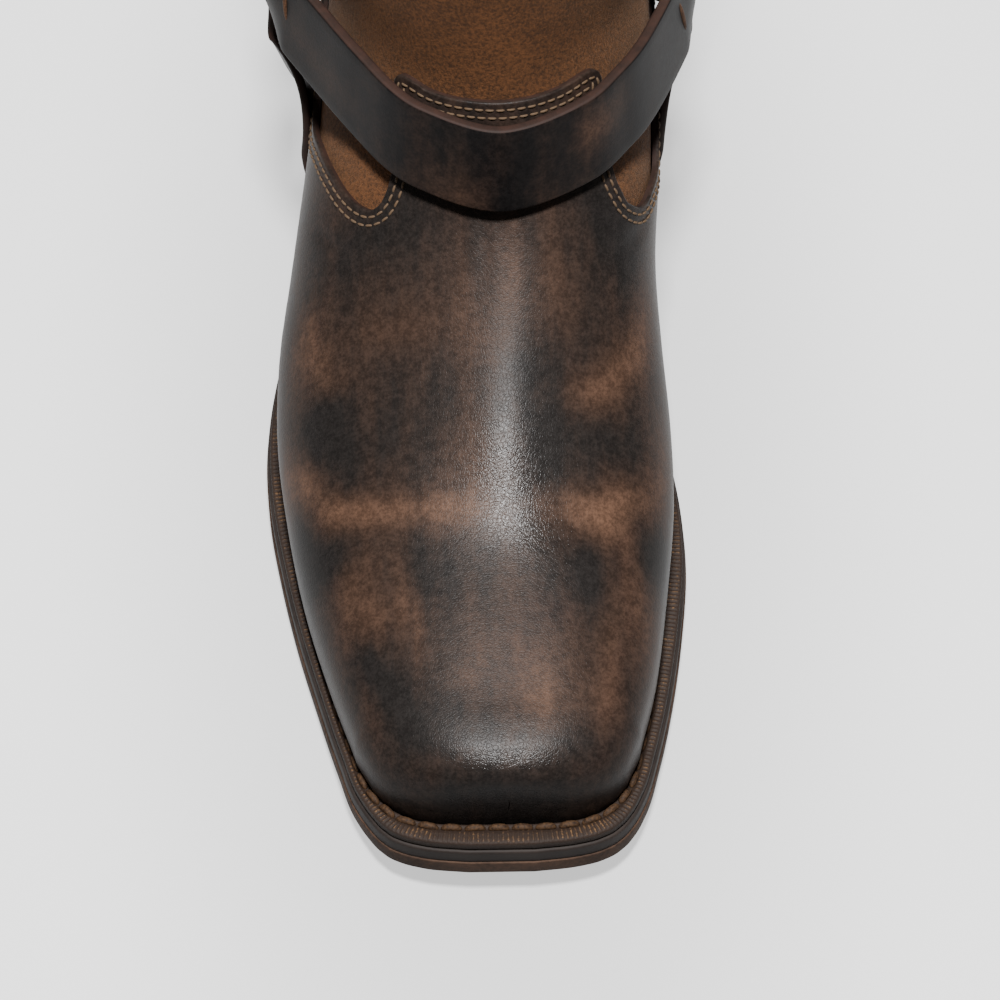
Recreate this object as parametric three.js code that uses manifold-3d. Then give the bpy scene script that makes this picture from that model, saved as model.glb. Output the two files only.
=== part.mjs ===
// A square-toed harness boot for the right foot, standing empty on its sole.
// Millimetres, +Z up, toe towards -Y, inner side of the foot towards +X.
// The origin is on the floor under the middle of the heel.
// Places along the boot are distances back from the tip of the sole.

import * as THREE from "three";
import { mergeVertices } from "three/addons/utils/BufferGeometryUtils.js";
import Module from "manifold-3d";

const wasm = await Module();
wasm.setup();

// Driving sizes of the foot and the shaft
const SOLE_LENGTH = 307.5;
const BALL_WIDTH = 100;
const SOLE_WIDTH = 1.1 * BALL_WIDTH;
const INSTEP_HEIGHT = 89;
const BOOT_HEIGHT = 262;
const SHAFT_WIDTH = 96;
const TOE_SPRING = 8;
const TOE_ROUND = 17.5;

// Driving sizes of the sole and the heel
const OUTSOLE_THICK = 5;
const MIDSOLE_THICK = 4.4;
const WELT_THICK = 3;
const WELT_STEP = 1.2;
const MIDSOLE_STEP = 0.4;
const HEEL_LIFT = 33.5;
const TOP_PIECE_THICK = 7;
const LIFT_THICK = 6.4;
const LIFT_GROOVE = 0.4;
const TOP_PIECE_BEVEL = 0.6;
const HEEL_TAPER = 3;
const BREAST_HOLLOW = 3;

// Driving sizes of the leather
const SUEDE_WALL = 2;
const OVERLAY_THICK = 1.8;
const INSOLE_THICK = 3;
const GAP = 0.3;

// Driving sizes of the harness
const STRAP_WIDTH = 27;
const STRAP_THICK = 3;
const STRAP_BEVEL = 0.6;
const STRAP_LEAN = THREE.MathUtils.degToRad(10.5);
const SIDE_LEAN_SHARE = 0.62;
const STIRRUP_WIDTH = 18;
const STIRRUP_THICK = 2.4;
const RING_END_WIDTH = 14;
const RING_RADIUS = 17;
const RING_BAR = 2.2;
const RING_AT = 0.737 * SOLE_LENGTH;
const RING_SPREAD = 1.006 * BALL_WIDTH;
const RING_SHIFT = -0.019 * BALL_WIDTH;
const FOLD_RETURN = 12;
const HEEL_STRAP_DROP = 12;
const STIRRUP_PLAY = 0.5;
const TAIL_SHARE = 0.65;

const HEEL_CENTRE = 0.8764 * SOLE_LENGTH;
const HEEL_BREAST = 0.748 * SOLE_LENGTH;
const WELT_END = 0.735 * SOLE_LENGTH;
const TOE_FRONT = 0.026 * SOLE_LENGTH;
const SOLE_STACK = OUTSOLE_THICK + MIDSOLE_THICK + GAP;
const OVERLAY_DEPTH = OVERLAY_THICK + GAP;
const LINING_DEPTH = OVERLAY_DEPTH + SUEDE_WALL;
const TUCK = LINING_DEPTH + 3 * GAP;
const RING_HEIGHT = SOLE_STACK + 1.06 * INSTEP_HEIGHT;
const QUARTER = Math.PI / 2;

// Underside of the outsole: place along the sole, rise of the toe and of the heel.
const UNDERSIDE = table(["at", "spring", "lift"], [
  [0, 1, 0],
  [0.044, 0.7, 0],
  [0.1025, 0.36, 0],
  [0.1675, 0.12, 0],
  [0.239, 0, 0],
  [0.379, 0, 0],
  [0.444, 0, 0.042],
  [0.525, 0, 0.194],
  [0.6065, 0, 0.433],
  [0.6715, 0, 0.642],
  [0.7366, 0, 0.806],
  [0.8504, 0, 0.925],
  [1, 0, 1],
]);

// Edge of the sole: place along the sole, half widths as shares of the sole's width.
const OUTLINE = table(["at", "lateral", "medial"], [
  [0, 0.075, 0.075],
  [0.0026, 0.145, 0.145],
  [0.0065, 0.195, 0.2],
  [0.013, 0.241, 0.246],
  [0.023, 0.276, 0.282],
  [0.036, 0.303, 0.309],
  [0.057, 0.335, 0.337],
  [0.1025, 0.376, 0.373],
  [0.1675, 0.427, 0.412],
  [0.2325, 0.475, 0.44],
  [0.2975, 0.514, 0.457],
  [0.3625, 0.543, 0.449],
  [0.4275, 0.55, 0.418],
  [0.509, 0.514, 0.355],
  [0.59, 0.436, 0.3],
  [0.6715, 0.382, 0.28],
  [0.753, 0.352, 0.285],
  [0.834, 0.336, 0.3],
  [0.899, 0.318, 0.295],
  [0.948, 0.262, 0.248],
  [0.98, 0.175, 0.168],
  [0.995, 0.088, 0.086],
  [1, 0.04, 0.04],
]);

// Sections of the upper round the foot, from the toe to the ankle. Each lies in the plane
// through a point low at the sole or heel and a point on the ridge of the foot.
// lowAt, ridgeAt: shares of the sole's length. lowUp: rise above the tucked edge and
// ridgeUp: rise above the sole, shares of the instep. Half widths and lean: shares of the
// ball's width. belly: share of the section's height. The powers square its corners.
const FOOT = table(
  ["lowAt", "lowUp", "ridgeAt", "ridgeUp", "lateral", "medial", "lean", "belly", "topPower", "lowPower"],
  [
    [0.083, 0, 0.083, 0.399, 0.363, 0.353, 0.015, 0.42, 2.9, 3.2],
    [0.151, 0, 0.151, 0.444, 0.429, 0.403, 0.015, 0.38, 2.6, 3.2],
    [0.2325, 0, 0.2325, 0.506, 0.497, 0.439, 0.02, 0.36, 2.3, 3.2],
    [0.314, 0, 0.304, 0.601, 0.542, 0.463, 0.03, 0.36, 2.05, 3.2],
    [0.395, 0, 0.3625, 0.691, 0.567, 0.461, 0.04, 0.38, 1.9, 3.2],
    [0.4765, 0, 0.418, 0.798, 0.56, 0.441, 0.055, 0.42, 1.85, 3],
    [0.564, 0, 0.4635, 0.904, 0.526, 0.429, 0.055, 0.45, 1.85, 2.8],
    [0.6715, 0, 0.4925, 1, 0.489, 0.442, 0.045, 0.5, 1.9, 2.6],
    [0.7855, 0, 0.5105, 1.079, 0.462, 0.446, 0.035, 0.52, 1.95, 2.5],
    [0.8895, 0, 0.5205, 1.146, 0.45, 0.45, 0.02, 0.53, 2, 2.4],
    [0.9675, 0.067, 0.5285, 1.213, 0.44, 0.448, 0.015, 0.54, 2, 2.4],
  ],
);

// Sections of the shaft above them: the same columns, but the rises are shares of the way
// up to the collar and the widths are shares of the shaft's width.
const SHAFT = table(
  ["lowAt", "lowUp", "ridgeAt", "ridgeUp", "lateral", "medial", "lean", "belly", "topPower", "lowPower"],
  [
    [0.99, 0.087, 0.535, 0.049, 0.453, 0.443, 0.01, 0.54, 2, 2.3],
    [0.987, 0.192, 0.5415, 0.111, 0.458, 0.448, 0.005, 0.53, 2, 2.2],
    [0.9725, 0.306, 0.548, 0.201, 0.464, 0.458, 0, 0.52, 2, 2.1],
    [0.963, 0.443, 0.553, 0.326, 0.474, 0.474, 0, 0.5, 2, 2],
    [0.961, 0.616, 0.558, 0.5, 0.49, 0.49, 0, 0.5, 2, 2],
    [0.964, 0.808, 0.561, 0.736, 0.5, 0.5, 0, 0.5, 2, 2],
    [0.9675, 1, 0.5645, 1, 0.51, 0.51, 0, 0.5, 2, 2],
  ],
);

// Rear edge of the vamp: degrees round the section, 0 inside, 90 on the ridge, and the
// section that the edge reaches. It rises to the tongue and dips on each side of it.
const VAMP_EDGE = table(["turn", "section"], [
  [-90, 6.75],
  [-42, 7],
  [-16, 7.5],
  [-5, 8],
  [-1, 8.5],
  [4, 8.35],
  [7, 7.9],
  [8.5, 7.45],
  [10.5, 7.15],
  [16, 6.98],
  [22, 6.81],
  [28, 6.6],
  [34, 6.5],
  [41, 6.54],
  [45, 6.72],
  [48, 6.92],
  [49.8, 7.15],
  [51, 7.6],
  [52.5, 9.9],
  [56, 10.18],
  [69, 9.87],
  [80, 9.66],
  [90, 9.58],
  [102, 9.64],
  [112, 9.78],
  [123, 10.1],
  [126, 9.85],
  [127, 7.3],
  [128, 7],
  [129.2, 6.76],
  [131.2, 6.55],
  [134.2, 6.45],
  [138.4, 6.52],
  [145.2, 6.75],
  [154.4, 7.13],
  [164.4, 7.46],
  [176, 7.72],
  [180, 8],
  [182.5, 8.4],
  [185, 8],
  [196, 7.5],
  [222, 7],
  [270, 6.75],
]);

// Top edge of the heel counter, the same on both sides of the heel.
const COUNTER_EDGE = table(["turn", "section"], [
  [-90, 12],
  [-66, 11.87],
  [-48, 11.62],
  [-34, 11.3],
  [-22, 10.9],
  [-13, 10.4],
  [-6, 9.8],
  [-2, 9.1],
  [0, 8.75],
]);
const COUNTER_SEAM = 0.045;

// Outer face of the instep strap, from the outside ring to the inside one.
// across and up: shares of the ball's width, up counted from the rings' height.
// at: share of the sole's length.
const INSTEP_PATH = table(["across", "at", "up"], [
  [-0.566, 0.672, 0.01],
  [-0.448, 0.609, 0.02],
  [-0.353, 0.5587, 0.035],
  [-0.257, 0.515, 0.043],
  [-0.184, 0.4946, 0.046],
  [0.024, 0.4686, 0.048],
  [0.253, 0.5008, 0.046],
  [0.348, 0.5369, 0.035],
  [0.414, 0.5733, 0.015],
  [0.538, 0.6728, -0.005],
]);

// Where the stirrup lies on the side of the boot: degrees below the belly, and section.
const STIRRUP_PATH = table(["turn", "section"], [
  [4.7, 8],
  [16.5, 7.5],
  [29, 7.2],
  [39, 7.06],
]);

// Where each strap folds round its ring, in degrees from the ring's rear, and where the
// heel strap passes the heel, in degrees from the middle of the back.
const STIRRUP_TURN = 250;
const INSTEP_TURN = { lateral: 175, medial: 178 };
const HEEL_TURN = -8;
const HEEL_STRAP_TURNS = [-50, -36, -18, 0, 18, 36, 50];

const FINISH = {
  suede: [0x6b4a2e, 0.95, 0],
  vamp: [0x2b211d, 0.45, 0],
  strap: [0x28211f, 0.4, 0],
  sole: [0x4a3a30, 0.75, 0],
  midsole: [0x3a2a20, 0.7, 0],
  welt: [0x3b281b, 0.7, 0],
  stack: [0x39291f, 0.6, 0],
  rubber: [0x1d1b1a, 0.85, 0],
  insole: [0xa07b56, 0.85, 0],
  ring: [0x8d8a84, 0.3, 1],
};

function table(names, rows) {
  return rows.map((row) => Object.fromEntries(names.map((name, i) => [name, row[i]])));
}

// A smooth curve through a table's rows. A stretch between two equal values stays flat.
function smooth(rows, key, at, x) {
  const last = rows.length - 2;
  let i = rows.findIndex((row) => row[at] > x) - 1;
  if (i < 0) i = x < rows[0][at] ? 0 : last;
  const slope = (k) => {
    const rise = (n) => (rows[n + 1][key] - rows[n][key]) / (rows[n + 1][at] - rows[n][at]);
    if (k === 0) return rise(0);
    if (k > last) return rise(last);
    const before = rows[k][at] - rows[k - 1][at];
    const after = rows[k + 1][at] - rows[k][at];
    if (rise(k - 1) === 0 || rise(k) === 0) return 0;
    return (rise(k - 1) * after + rise(k) * before) / (before + after);
  };
  if (x < rows[0][at]) return rows[0][key] + slope(0) * (x - rows[0][at]);
  if (x > rows[last + 1][at]) return rows[last + 1][key] + slope(last + 1) * (x - rows[last + 1][at]);
  const h = rows[i + 1][at] - rows[i][at];
  const t = (x - rows[i][at]) / h;
  const a = rows[i][key];
  const b = rows[i + 1][key];
  return (
    a * (2 * t ** 3 - 3 * t ** 2 + 1) +
    b * (3 * t ** 2 - 2 * t ** 3) +
    h * (slope(i) * (t ** 3 - 2 * t ** 2 + t) + slope(i + 1) * (t ** 3 - t ** 2))
  );
}

function straight(rows, key, at, x) {
  const after = rows.findIndex((row) => row[at] > x);
  const i = after < 0 ? rows.length - 2 : Math.max(after - 1, 0);
  const t = (x - rows[i][at]) / (rows[i + 1][at] - rows[i][at]);
  return rows[i][key] + t * (rows[i + 1][key] - rows[i][key]);
}

const signedPower = (value, power) => Math.sign(value) * Math.abs(value) ** power;
const place = (x, back, z) => new THREE.Vector3(x, back - HEEL_CENTRE, z);

// Evenly spaced numbers from one to another, both included.
const steps = (from, to, count) => {
  const step = (to - from) / count;
  return Array.from({ length: count + 1 }, (_, i) => from + i * step);
};

function underside(back) {
  const at = back / SOLE_LENGTH;
  const spring = TOE_SPRING * smooth(UNDERSIDE, "spring", "at", at);
  return spring + HEEL_LIFT * smooth(UNDERSIDE, "lift", "at", at);
}

const soleTop = (back) => underside(back) + SOLE_STACK;

// Real sizes of every section, the foot's and the shaft's in one list.
const ANKLE_UP = SOLE_STACK + FOOT[FOOT.length - 1].ridgeUp * INSTEP_HEIGHT;
const HEEL_SEAT_UP = SOLE_STACK + HEEL_LIFT;
const SECTIONS = [
  ...FOOT.map((row) => ({
    lowAt: row.lowAt * SOLE_LENGTH,
    lowUp: soleTop(row.lowAt * SOLE_LENGTH) - TUCK + row.lowUp * INSTEP_HEIGHT,
    ridgeAt: row.ridgeAt * SOLE_LENGTH,
    ridgeUp: SOLE_STACK + row.ridgeUp * INSTEP_HEIGHT,
    lateral: row.lateral * BALL_WIDTH,
    medial: row.medial * BALL_WIDTH,
    lean: row.lean * BALL_WIDTH,
    belly: row.belly,
    topPower: row.topPower,
    lowPower: row.lowPower,
  })),
  ...SHAFT.map((row) => ({
    lowAt: row.lowAt * SOLE_LENGTH,
    lowUp: THREE.MathUtils.lerp(HEEL_SEAT_UP, BOOT_HEIGHT, row.lowUp),
    ridgeAt: row.ridgeAt * SOLE_LENGTH,
    ridgeUp: THREE.MathUtils.lerp(ANKLE_UP, BOOT_HEIGHT, row.ridgeUp),
    lateral: row.lateral * SHAFT_WIDTH,
    medial: row.medial * SHAFT_WIDTH,
    lean: row.lean * SHAFT_WIDTH,
    belly: row.belly,
    topPower: row.topPower,
    lowPower: row.lowPower,
  })),
].map((row, i) => ({ ...row, index: i }));
const LAST_SECTION = SECTIONS.length - 1;
const COLUMNS = Object.keys(SECTIONS[0]).filter((name) => name !== "index");

// The toe closes as a box: powers of its plan and of its profile, and the height above the
// sole of the place that it closes on.
const TOE_POWER = 4.6;
const TOE_TOP_POWER = 8;
const TOE_RISE = 4;
const TIP_STEP = 0.001;

// The section at a place u: whole numbers are the table's rows, and -1 to 0 closes the toe.
function section(u) {
  if (u >= 0) {
    return Object.fromEntries(COLUMNS.map((name) => [name, smooth(SECTIONS, name, "index", u)]));
  }
  const angle = QUARTER * (1 + u);
  const back = TOE_FRONT + TOE_ROUND * (1 - Math.cos(angle));
  const shrink = Math.sin(angle) ** (2 / TOE_POWER);
  const sink = Math.sin(angle) ** (2 / TOE_TOP_POWER);
  const span = SECTIONS[1].lowAt - SECTIONS[0].lowAt;
  const before = (back - SECTIONS[0].lowAt) / span;
  const extended = (name) => SECTIONS[0][name] + before * (SECTIONS[1][name] - SECTIONS[0][name]);
  const row = Object.fromEntries(COLUMNS.map((name) => [name, extended(name)]));
  const middle = soleTop(TOE_FRONT) + TOE_RISE;
  return {
    ...row,
    lowAt: back,
    ridgeAt: back,
    lowUp: middle + (row.lowUp - middle) * sink,
    ridgeUp: middle + (row.ridgeUp - middle) * sink,
    lateral: row.lateral * shrink,
    medial: row.medial * shrink,
    topPower: SECTIONS[0].topPower,
    lowPower: SECTIONS[0].lowPower,
    belly: SECTIONS[0].belly,
  };
}

// A point of the upper's outermost surface, at a section and an angle round it.
function surface(u, turn) {
  const row = section(u);
  const rise = Math.hypot(row.ridgeAt - row.lowAt, row.ridgeUp - row.lowUp);
  const s = Math.sin(turn);
  const c = Math.cos(turn);
  const power = 2 / (s > 0 ? row.topPower : row.lowPower);
  const reach = rise * (s > 0 ? 1 - row.belly : row.belly);
  const half = c > 0 ? row.medial : row.lateral;
  const along = (row.belly * rise + reach * signedPower(s, power)) / rise;
  return place(
    row.lean * Math.max(s, 0) + half * signedPower(c, power),
    THREE.MathUtils.lerp(row.lowAt, row.ridgeAt, along),
    THREE.MathUtils.lerp(row.lowUp, row.ridgeUp, along),
  );
}

function outward(u, turn) {
  const e = 0.004;
  const ahead = surface(Math.min(u + e, LAST_SECTION), turn);
  const alongU = ahead.sub(surface(Math.max(u - e, -1 + e), turn));
  const alongTurn = surface(u, turn + e).sub(surface(u, turn - e));
  return alongTurn.cross(alongU).normalize().negate();
}

const offsetPoint = (u, turn, depth) => surface(u, turn).addScaledVector(outward(u, turn), depth);

const MERGE_DISTANCE = 1e-4;

// Closed solids from loops of points, each loop with as many points as the next.
function solid(points, faces) {
  const raw = new THREE.BufferGeometry();
  const flat = points.flatMap((p) => [p.x, p.y, p.z]);
  raw.setAttribute("position", new THREE.Float32BufferAttribute(flat, 3));
  raw.setIndex(faces);
  const merged = mergeVertices(raw, MERGE_DISTANCE);
  const made = new wasm.Manifold(
    new wasm.Mesh({
      numProp: 3,
      vertProperties: merged.attributes.position.array,
      triVerts: new Uint32Array(merged.index.array),
    }),
  );
  if (made.volume() >= 0) return made;
  const turned = faces.map((_, i) => faces[i - (i % 3) + ((3 - (i % 3)) % 3)]);
  return solid(points, turned);
}

function loft(loops, startCentre, endCentre) {
  const size = loops[0].length;
  const points = loops.flat();
  const faces = [];
  loops.slice(1).forEach((_, i) => {
    for (let j = 0; j < size; j += 1) {
      const a = i * size + j;
      const b = i * size + ((j + 1) % size);
      faces.push(a, b, a + size, b, b + size, a + size);
    }
  });
  const cap = (first, centre, flip) => {
    const hub = points.push(centre) - 1;
    for (let j = 0; j < size; j += 1) {
      const a = first + j;
      const b = first + ((j + 1) % size);
      faces.push(...(flip ? [b, a, hub] : [a, b, hub]));
    }
  };
  const middle = (loop) => loop.reduce((sum, p) => sum.add(p), new THREE.Vector3()).divideScalar(size);
  cap(0, startCentre ?? middle(loops[0]), true);
  cap((loops.length - 1) * size, endCentre ?? middle(loops[loops.length - 1]), false);
  return solid(points, faces);
}

// Rows of the upper: a few round the toe, two for each section up to the waist of the foot,
// then one for each section to the collar.
const AROUND = 24;
const TURNS = steps(-QUARTER, 3 * QUARTER, AROUND).slice(0, -1);
const TOE_ROWS = [-0.94, -0.8, -0.62, -0.42, -0.2];
const HALVED = 8;
const ROWS = [
  ...TOE_ROWS,
  ...steps(0, HALVED, 2 * HALVED),
  ...steps(HALVED + 1, LAST_SECTION, LAST_SECTION - HALVED - 1),
];

// The closed form of the whole upper at a depth outside or inside its outermost surface.
function form(depth, above = 0) {
  const loops = ROWS.map((u) => TURNS.map((turn) => offsetPoint(u, turn, depth)));
  const collar = loops[loops.length - 1];
  if (above) loops.push(collar.map((p) => new THREE.Vector3(p.x, p.y, p.z + above)));
  const tip = surface(TIP_STEP - 1, 0);
  tip.y -= depth;
  return loft(loops, tip);
}

// The vamp's rear edge and the counter share their columns, so that the seam between them fits.
const wrap = (turn) => (turn < -90 ? turn + 360 : turn);
const COUNTER_TURNS = COUNTER_EDGE.map((row) => row.turn);
const EDGE_TURNS = [
  ...VAMP_EDGE.map((row) => row.turn),
  ...COUNTER_TURNS,
  ...COUNTER_TURNS.map((turn) => wrap(-180 - turn)),
]
  .sort((a, b) => a - b)
  .filter((turn, i, all) => turn < 270 && (i === 0 || turn - all[i - 1] > 0.5));
const vampEdge = (turn) => straight(VAMP_EDGE, "section", "turn", wrap(turn));

const VAMP_ROWS = 22;
const VAMP_HEART = { at: 0.52, up: 0.55 };

// Everything in front of the vamp's rear edge, to a reach outside and inside the surface.
function vampRegion(reach) {
  const at = (share, depth) =>
    EDGE_TURNS.map((turn) => {
      const u = -1 + share * (vampEdge(turn) + 1);
      return offsetPoint(u, THREE.MathUtils.degToRad(turn), depth);
    });
  const shares = steps(1 / (2 * VAMP_ROWS), 1, VAMP_ROWS);
  const loops = [...shares.map((share) => at(share, reach)), at(1, -reach)];
  const tip = surface(TIP_STEP - 1, 0);
  tip.y -= reach;
  const heart = place(0, VAMP_HEART.at * SOLE_LENGTH, SOLE_STACK + VAMP_HEART.up * INSTEP_HEIGHT);
  return loft(loops, tip, heart);
}

const COUNTER_ROWS = 8;

// Everything between the vamp's rear edge and the counter's top edge.
function counterRegion(reach) {
  const behind = EDGE_TURNS.filter((turn) => turn <= 0 || turn >= 180);
  const turns = behind.map((turn) => (turn > 0 ? turn - 360 : turn)).sort((a, b) => a - b);
  const mirrored = (turn) => (turn < -90 ? -180 - turn : turn);
  const topEdge = (turn) => straight(COUNTER_EDGE, "section", "turn", mirrored(turn));
  const loops = turns.map((turn) => {
    const low = vampEdge(turn) + COUNTER_SEAM;
    const top = Math.max(topEdge(turn), low + COUNTER_SEAM);
    const at = THREE.MathUtils.degToRad(turn);
    const outer = steps(low, top, COUNTER_ROWS).map((u) => offsetPoint(u, at, reach));
    const inner = steps(low, top, COUNTER_ROWS).map((u) => offsetPoint(u, at, -reach));
    return [...outer, ...inner.reverse()];
  });
  return stripLoft(loops);
}

// A loft of thin loops, each closed across by a strip from its first half to its second.
function stripLoft(loops) {
  const size = loops[0].length;
  const points = loops.flat();
  const faces = [];
  loops.slice(1).forEach((_, i) => {
    for (let j = 0; j < size; j += 1) {
      const a = i * size + j;
      const b = i * size + ((j + 1) % size);
      faces.push(a, b, a + size, b, b + size, a + size);
    }
  });
  const end = (first, flip) => {
    for (let j = 0; j < size / 2 - 1; j += 1) {
      const quad = [first + j, first + j + 1, first + size - 2 - j, first + size - 1 - j];
      const [a, b, c, d] = flip ? quad.reverse() : quad;
      faces.push(a, b, c, a, c, d);
    }
  };
  end(0, true);
  end((loops.length - 1) * size, false);
  return solid(points, faces);
}

// Stations along the sole, closer together at the toe and the back of the heel.
const STATIONS = [
  0, 0.0026, 0.0065, 0.013, 0.023, 0.036, 0.057, 0.08, 0.1025, 0.135, 0.1675, 0.2, 0.239, 0.2975, 0.34, 0.379,
  0.41, 0.444, 0.484, 0.525, 0.565, 0.6065, 0.64, 0.6715, 0.705, 0.7366, 0.77, 0.81, 0.8504, 0.88, 0.91, 0.94,
  0.962, 0.98, 0.992, 1,
];

const LEAST_STEP = 0.004;
const BEYOND = [0.05, 0.12];
const BREAST_SHARES = [-0.6, -0.2, 0.2, 0.6];

// A point of the sole's edge on one side (-1 outside, 1 inside), moved in by an inset.
function edgePoint(at, side, inset) {
  const key = side < 0 ? "lateral" : "medial";
  const half = (share) => smooth(OUTLINE, key, "at", share) * SOLE_WIDTH;
  const e = 0.001;
  const from = Math.max(at - e, 0);
  const to = Math.min(at + e, 1);
  const slope = (half(to) - half(from)) / ((to - from) * SOLE_LENGTH);
  const run = Math.hypot(1, slope);
  const across = Math.max(half(at) - inset / run, 0);
  const shifted = at * SOLE_LENGTH + (inset * slope) / run;
  return { x: side * across, back: THREE.MathUtils.clamp(shifted, inset, SOLE_LENGTH - inset) };
}

// A layer that follows the sole's length, between two heights above the outsole's underside.
function layer(inset, low, high, from = 0, to = 1) {
  const between = STATIONS.filter((at) => at > from + LEAST_STEP && at < to - LEAST_STEP);
  const stations = [from, ...between, to];
  const loops = stations.map((at) => {
    const sides = [-1, 1].map((side) => edgePoint(at, side, inset));
    const corner = ({ x, back }, height) => place(x, back, underside(back) + height);
    return [corner(sides[0], low), corner(sides[1], low), corner(sides[1], high), corner(sides[0], high)];
  });
  return loft(loops);
}

// A wide block between two heights above the underside, to cut other forms along the sole.
function wideLayer(low, high) {
  const before = BEYOND.map((share) => -share).reverse();
  const stations = [...before, ...STATIONS, ...BEYOND.map((share) => 1 + share)];
  const loops = stations.map((at) => {
    const back = at * SOLE_LENGTH;
    const up = underside(back);
    const corner = (side, height) => place(side * SOLE_WIDTH, back, up + height);
    return [corner(-1, low), corner(1, low), corner(1, high), corner(-1, high)];
  });
  return loft(loops);
}

// The heel's outline at an inset: up one side, round the back, and across the hollow breast.
function heelLoop(inset, z) {
  const share = HEEL_BREAST / SOLE_LENGTH;
  const backs = [share, ...STATIONS.filter((at) => at > share + 5 * LEAST_STEP)];
  const sideways = (side) => backs.map((at) => edgePoint(at, side, inset + MIDSOLE_STEP));
  const medial = sideways(1);
  const lateral = sideways(-1).reverse();
  const half = (medial[0].x - lateral[lateral.length - 1].x) / 2;
  const middle = (medial[0].x + lateral[lateral.length - 1].x) / 2;
  const breast = BREAST_SHARES.map((t) => ({
    x: middle + t * half,
    back: HEEL_BREAST + BREAST_HOLLOW * (1 - t * t) + inset,
  }));
  const kept = ({ x, back }) => ({ x, back: Math.max(back, HEEL_BREAST + inset) });
  const round = [...medial, ...lateral].map(kept);
  return [...round, ...breast].map(({ x, back }) => place(x, back, z));
}

const heelTaper = (z) => HEEL_TAPER * (1 - z / HEEL_LIFT);

function heelStack() {
  const base = TOP_PIECE_THICK + GAP;
  const top = HEEL_LIFT + OUTSOLE_THICK;
  const count = Math.floor((top - base) / LIFT_THICK);
  const profile = [[base, 0]];
  for (let i = 1; i <= count; i += 1) {
    const z = base + i * LIFT_THICK;
    profile.push([z - LIFT_GROOVE, 0], [z, LIFT_GROOVE], [z + LIFT_GROOVE, 0]);
  }
  profile.push([top + LIFT_THICK, 0]);
  const tall = loft(profile.map(([z, groove]) => heelLoop(heelTaper(z) + groove, z)));
  return tall.subtract(wideLayer(-GAP, BOOT_HEIGHT));
}

function heelTopPiece() {
  const levels = [
    [0, TOP_PIECE_BEVEL],
    [TOP_PIECE_BEVEL, 0],
    [TOP_PIECE_THICK, 0],
  ];
  return loft(levels.map(([z, inset]) => heelLoop(heelTaper(z) + inset, z)));
}

// A strap: stations along its outer face, each with an origin, a direction across and a normal.
// Near a ring the fibres of the strap shift by a warp, so that the fold follows the round bar.
function strap(stations, thick) {
  const loops = stations.map(({ origin, across, normal, width, warp = 0, pull }) => {
    const half = width / 2;
    const inner = -thick;
    const profile = [
      [-half + STRAP_BEVEL, 0],
      [0, 0],
      [half - STRAP_BEVEL, 0],
      [half, -STRAP_BEVEL],
      [half, inner + STRAP_BEVEL],
      [half - STRAP_BEVEL, inner],
      [0, inner],
      [-half + STRAP_BEVEL, inner],
      [-half, inner + STRAP_BEVEL],
      [-half, -STRAP_BEVEL],
    ];
    return profile.map(([s, h]) => {
      const point = origin.clone().addScaledVector(across, s).addScaledVector(normal, h);
      const sag = RING_RADIUS - Math.sqrt(RING_RADIUS ** 2 - s ** 2);
      return pull ? point.addScaledVector(pull, -warp * sag) : point;
    });
  });
  return loft(loops);
}

const upright = new THREE.Vector3(0, 0, 1);
const lengthwise = new THREE.Vector3(0, 1, 0);
const INSTEP_STATIONS = 20;
const HEEL_STATIONS = 18;
const STIRRUP_STATIONS = 12;

const sideOf = (name) => (name === "lateral" ? -1 : 1);
const ringCentre = (side) => place(RING_SHIFT + (side * RING_SPREAD) / 2, RING_AT, RING_HEIGHT);
const FOLD_HOLLOW = RING_BAR / Math.sqrt(1 - (RING_END_WIDTH / 2 / RING_RADIUS) ** 2) + 2 * GAP;

// The direction in which a strap leaves its ring, and the outer side of the ring's bar there.
const pullOf = (degrees) => {
  const turn = THREE.MathUtils.degToRad(degrees);
  return new THREE.Vector3(0, Math.cos(turn), Math.sin(turn));
};
const besideBar = (side, pull, thick) => {
  const bar = ringCentre(side).addScaledVector(pull, RING_RADIUS);
  return bar.add(new THREE.Vector3(side * (FOLD_HOLLOW + thick), 0, 0));
};

const crosswise = (reference, tangent) =>
  reference.clone().addScaledVector(tangent, -reference.dot(tangent)).normalize();

const FOLD_STEPS = 5;

// The half turn of a strap round a ring's bar, from the boot's side of it to the outer side.
function fold(side, pull, reference, thick) {
  const out = new THREE.Vector3(side, 0, 0);
  const bar = ringCentre(side).addScaledVector(pull, RING_RADIUS);
  return steps(Math.PI, 0, FOLD_STEPS).map((angle) => {
    const sideways = out.clone().multiplyScalar(Math.cos(angle));
    const normal = sideways.addScaledVector(pull, -Math.sin(angle));
    return {
      origin: bar.clone().addScaledVector(normal, FOLD_HOLLOW + thick),
      normal,
      across: crosswise(reference, pull),
      width: RING_END_WIDTH,
      warp: 1,
      pull,
    };
  });
}

// The end of a strap that comes back from its fold and lies against the strap's inner face.
const returned = (station, thick) => ({
  ...station,
  origin: station.origin.clone().addScaledVector(station.normal, -2 * thick - GAP),
  normal: station.normal.clone().negate(),
  width: RING_END_WIDTH,
});

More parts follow.
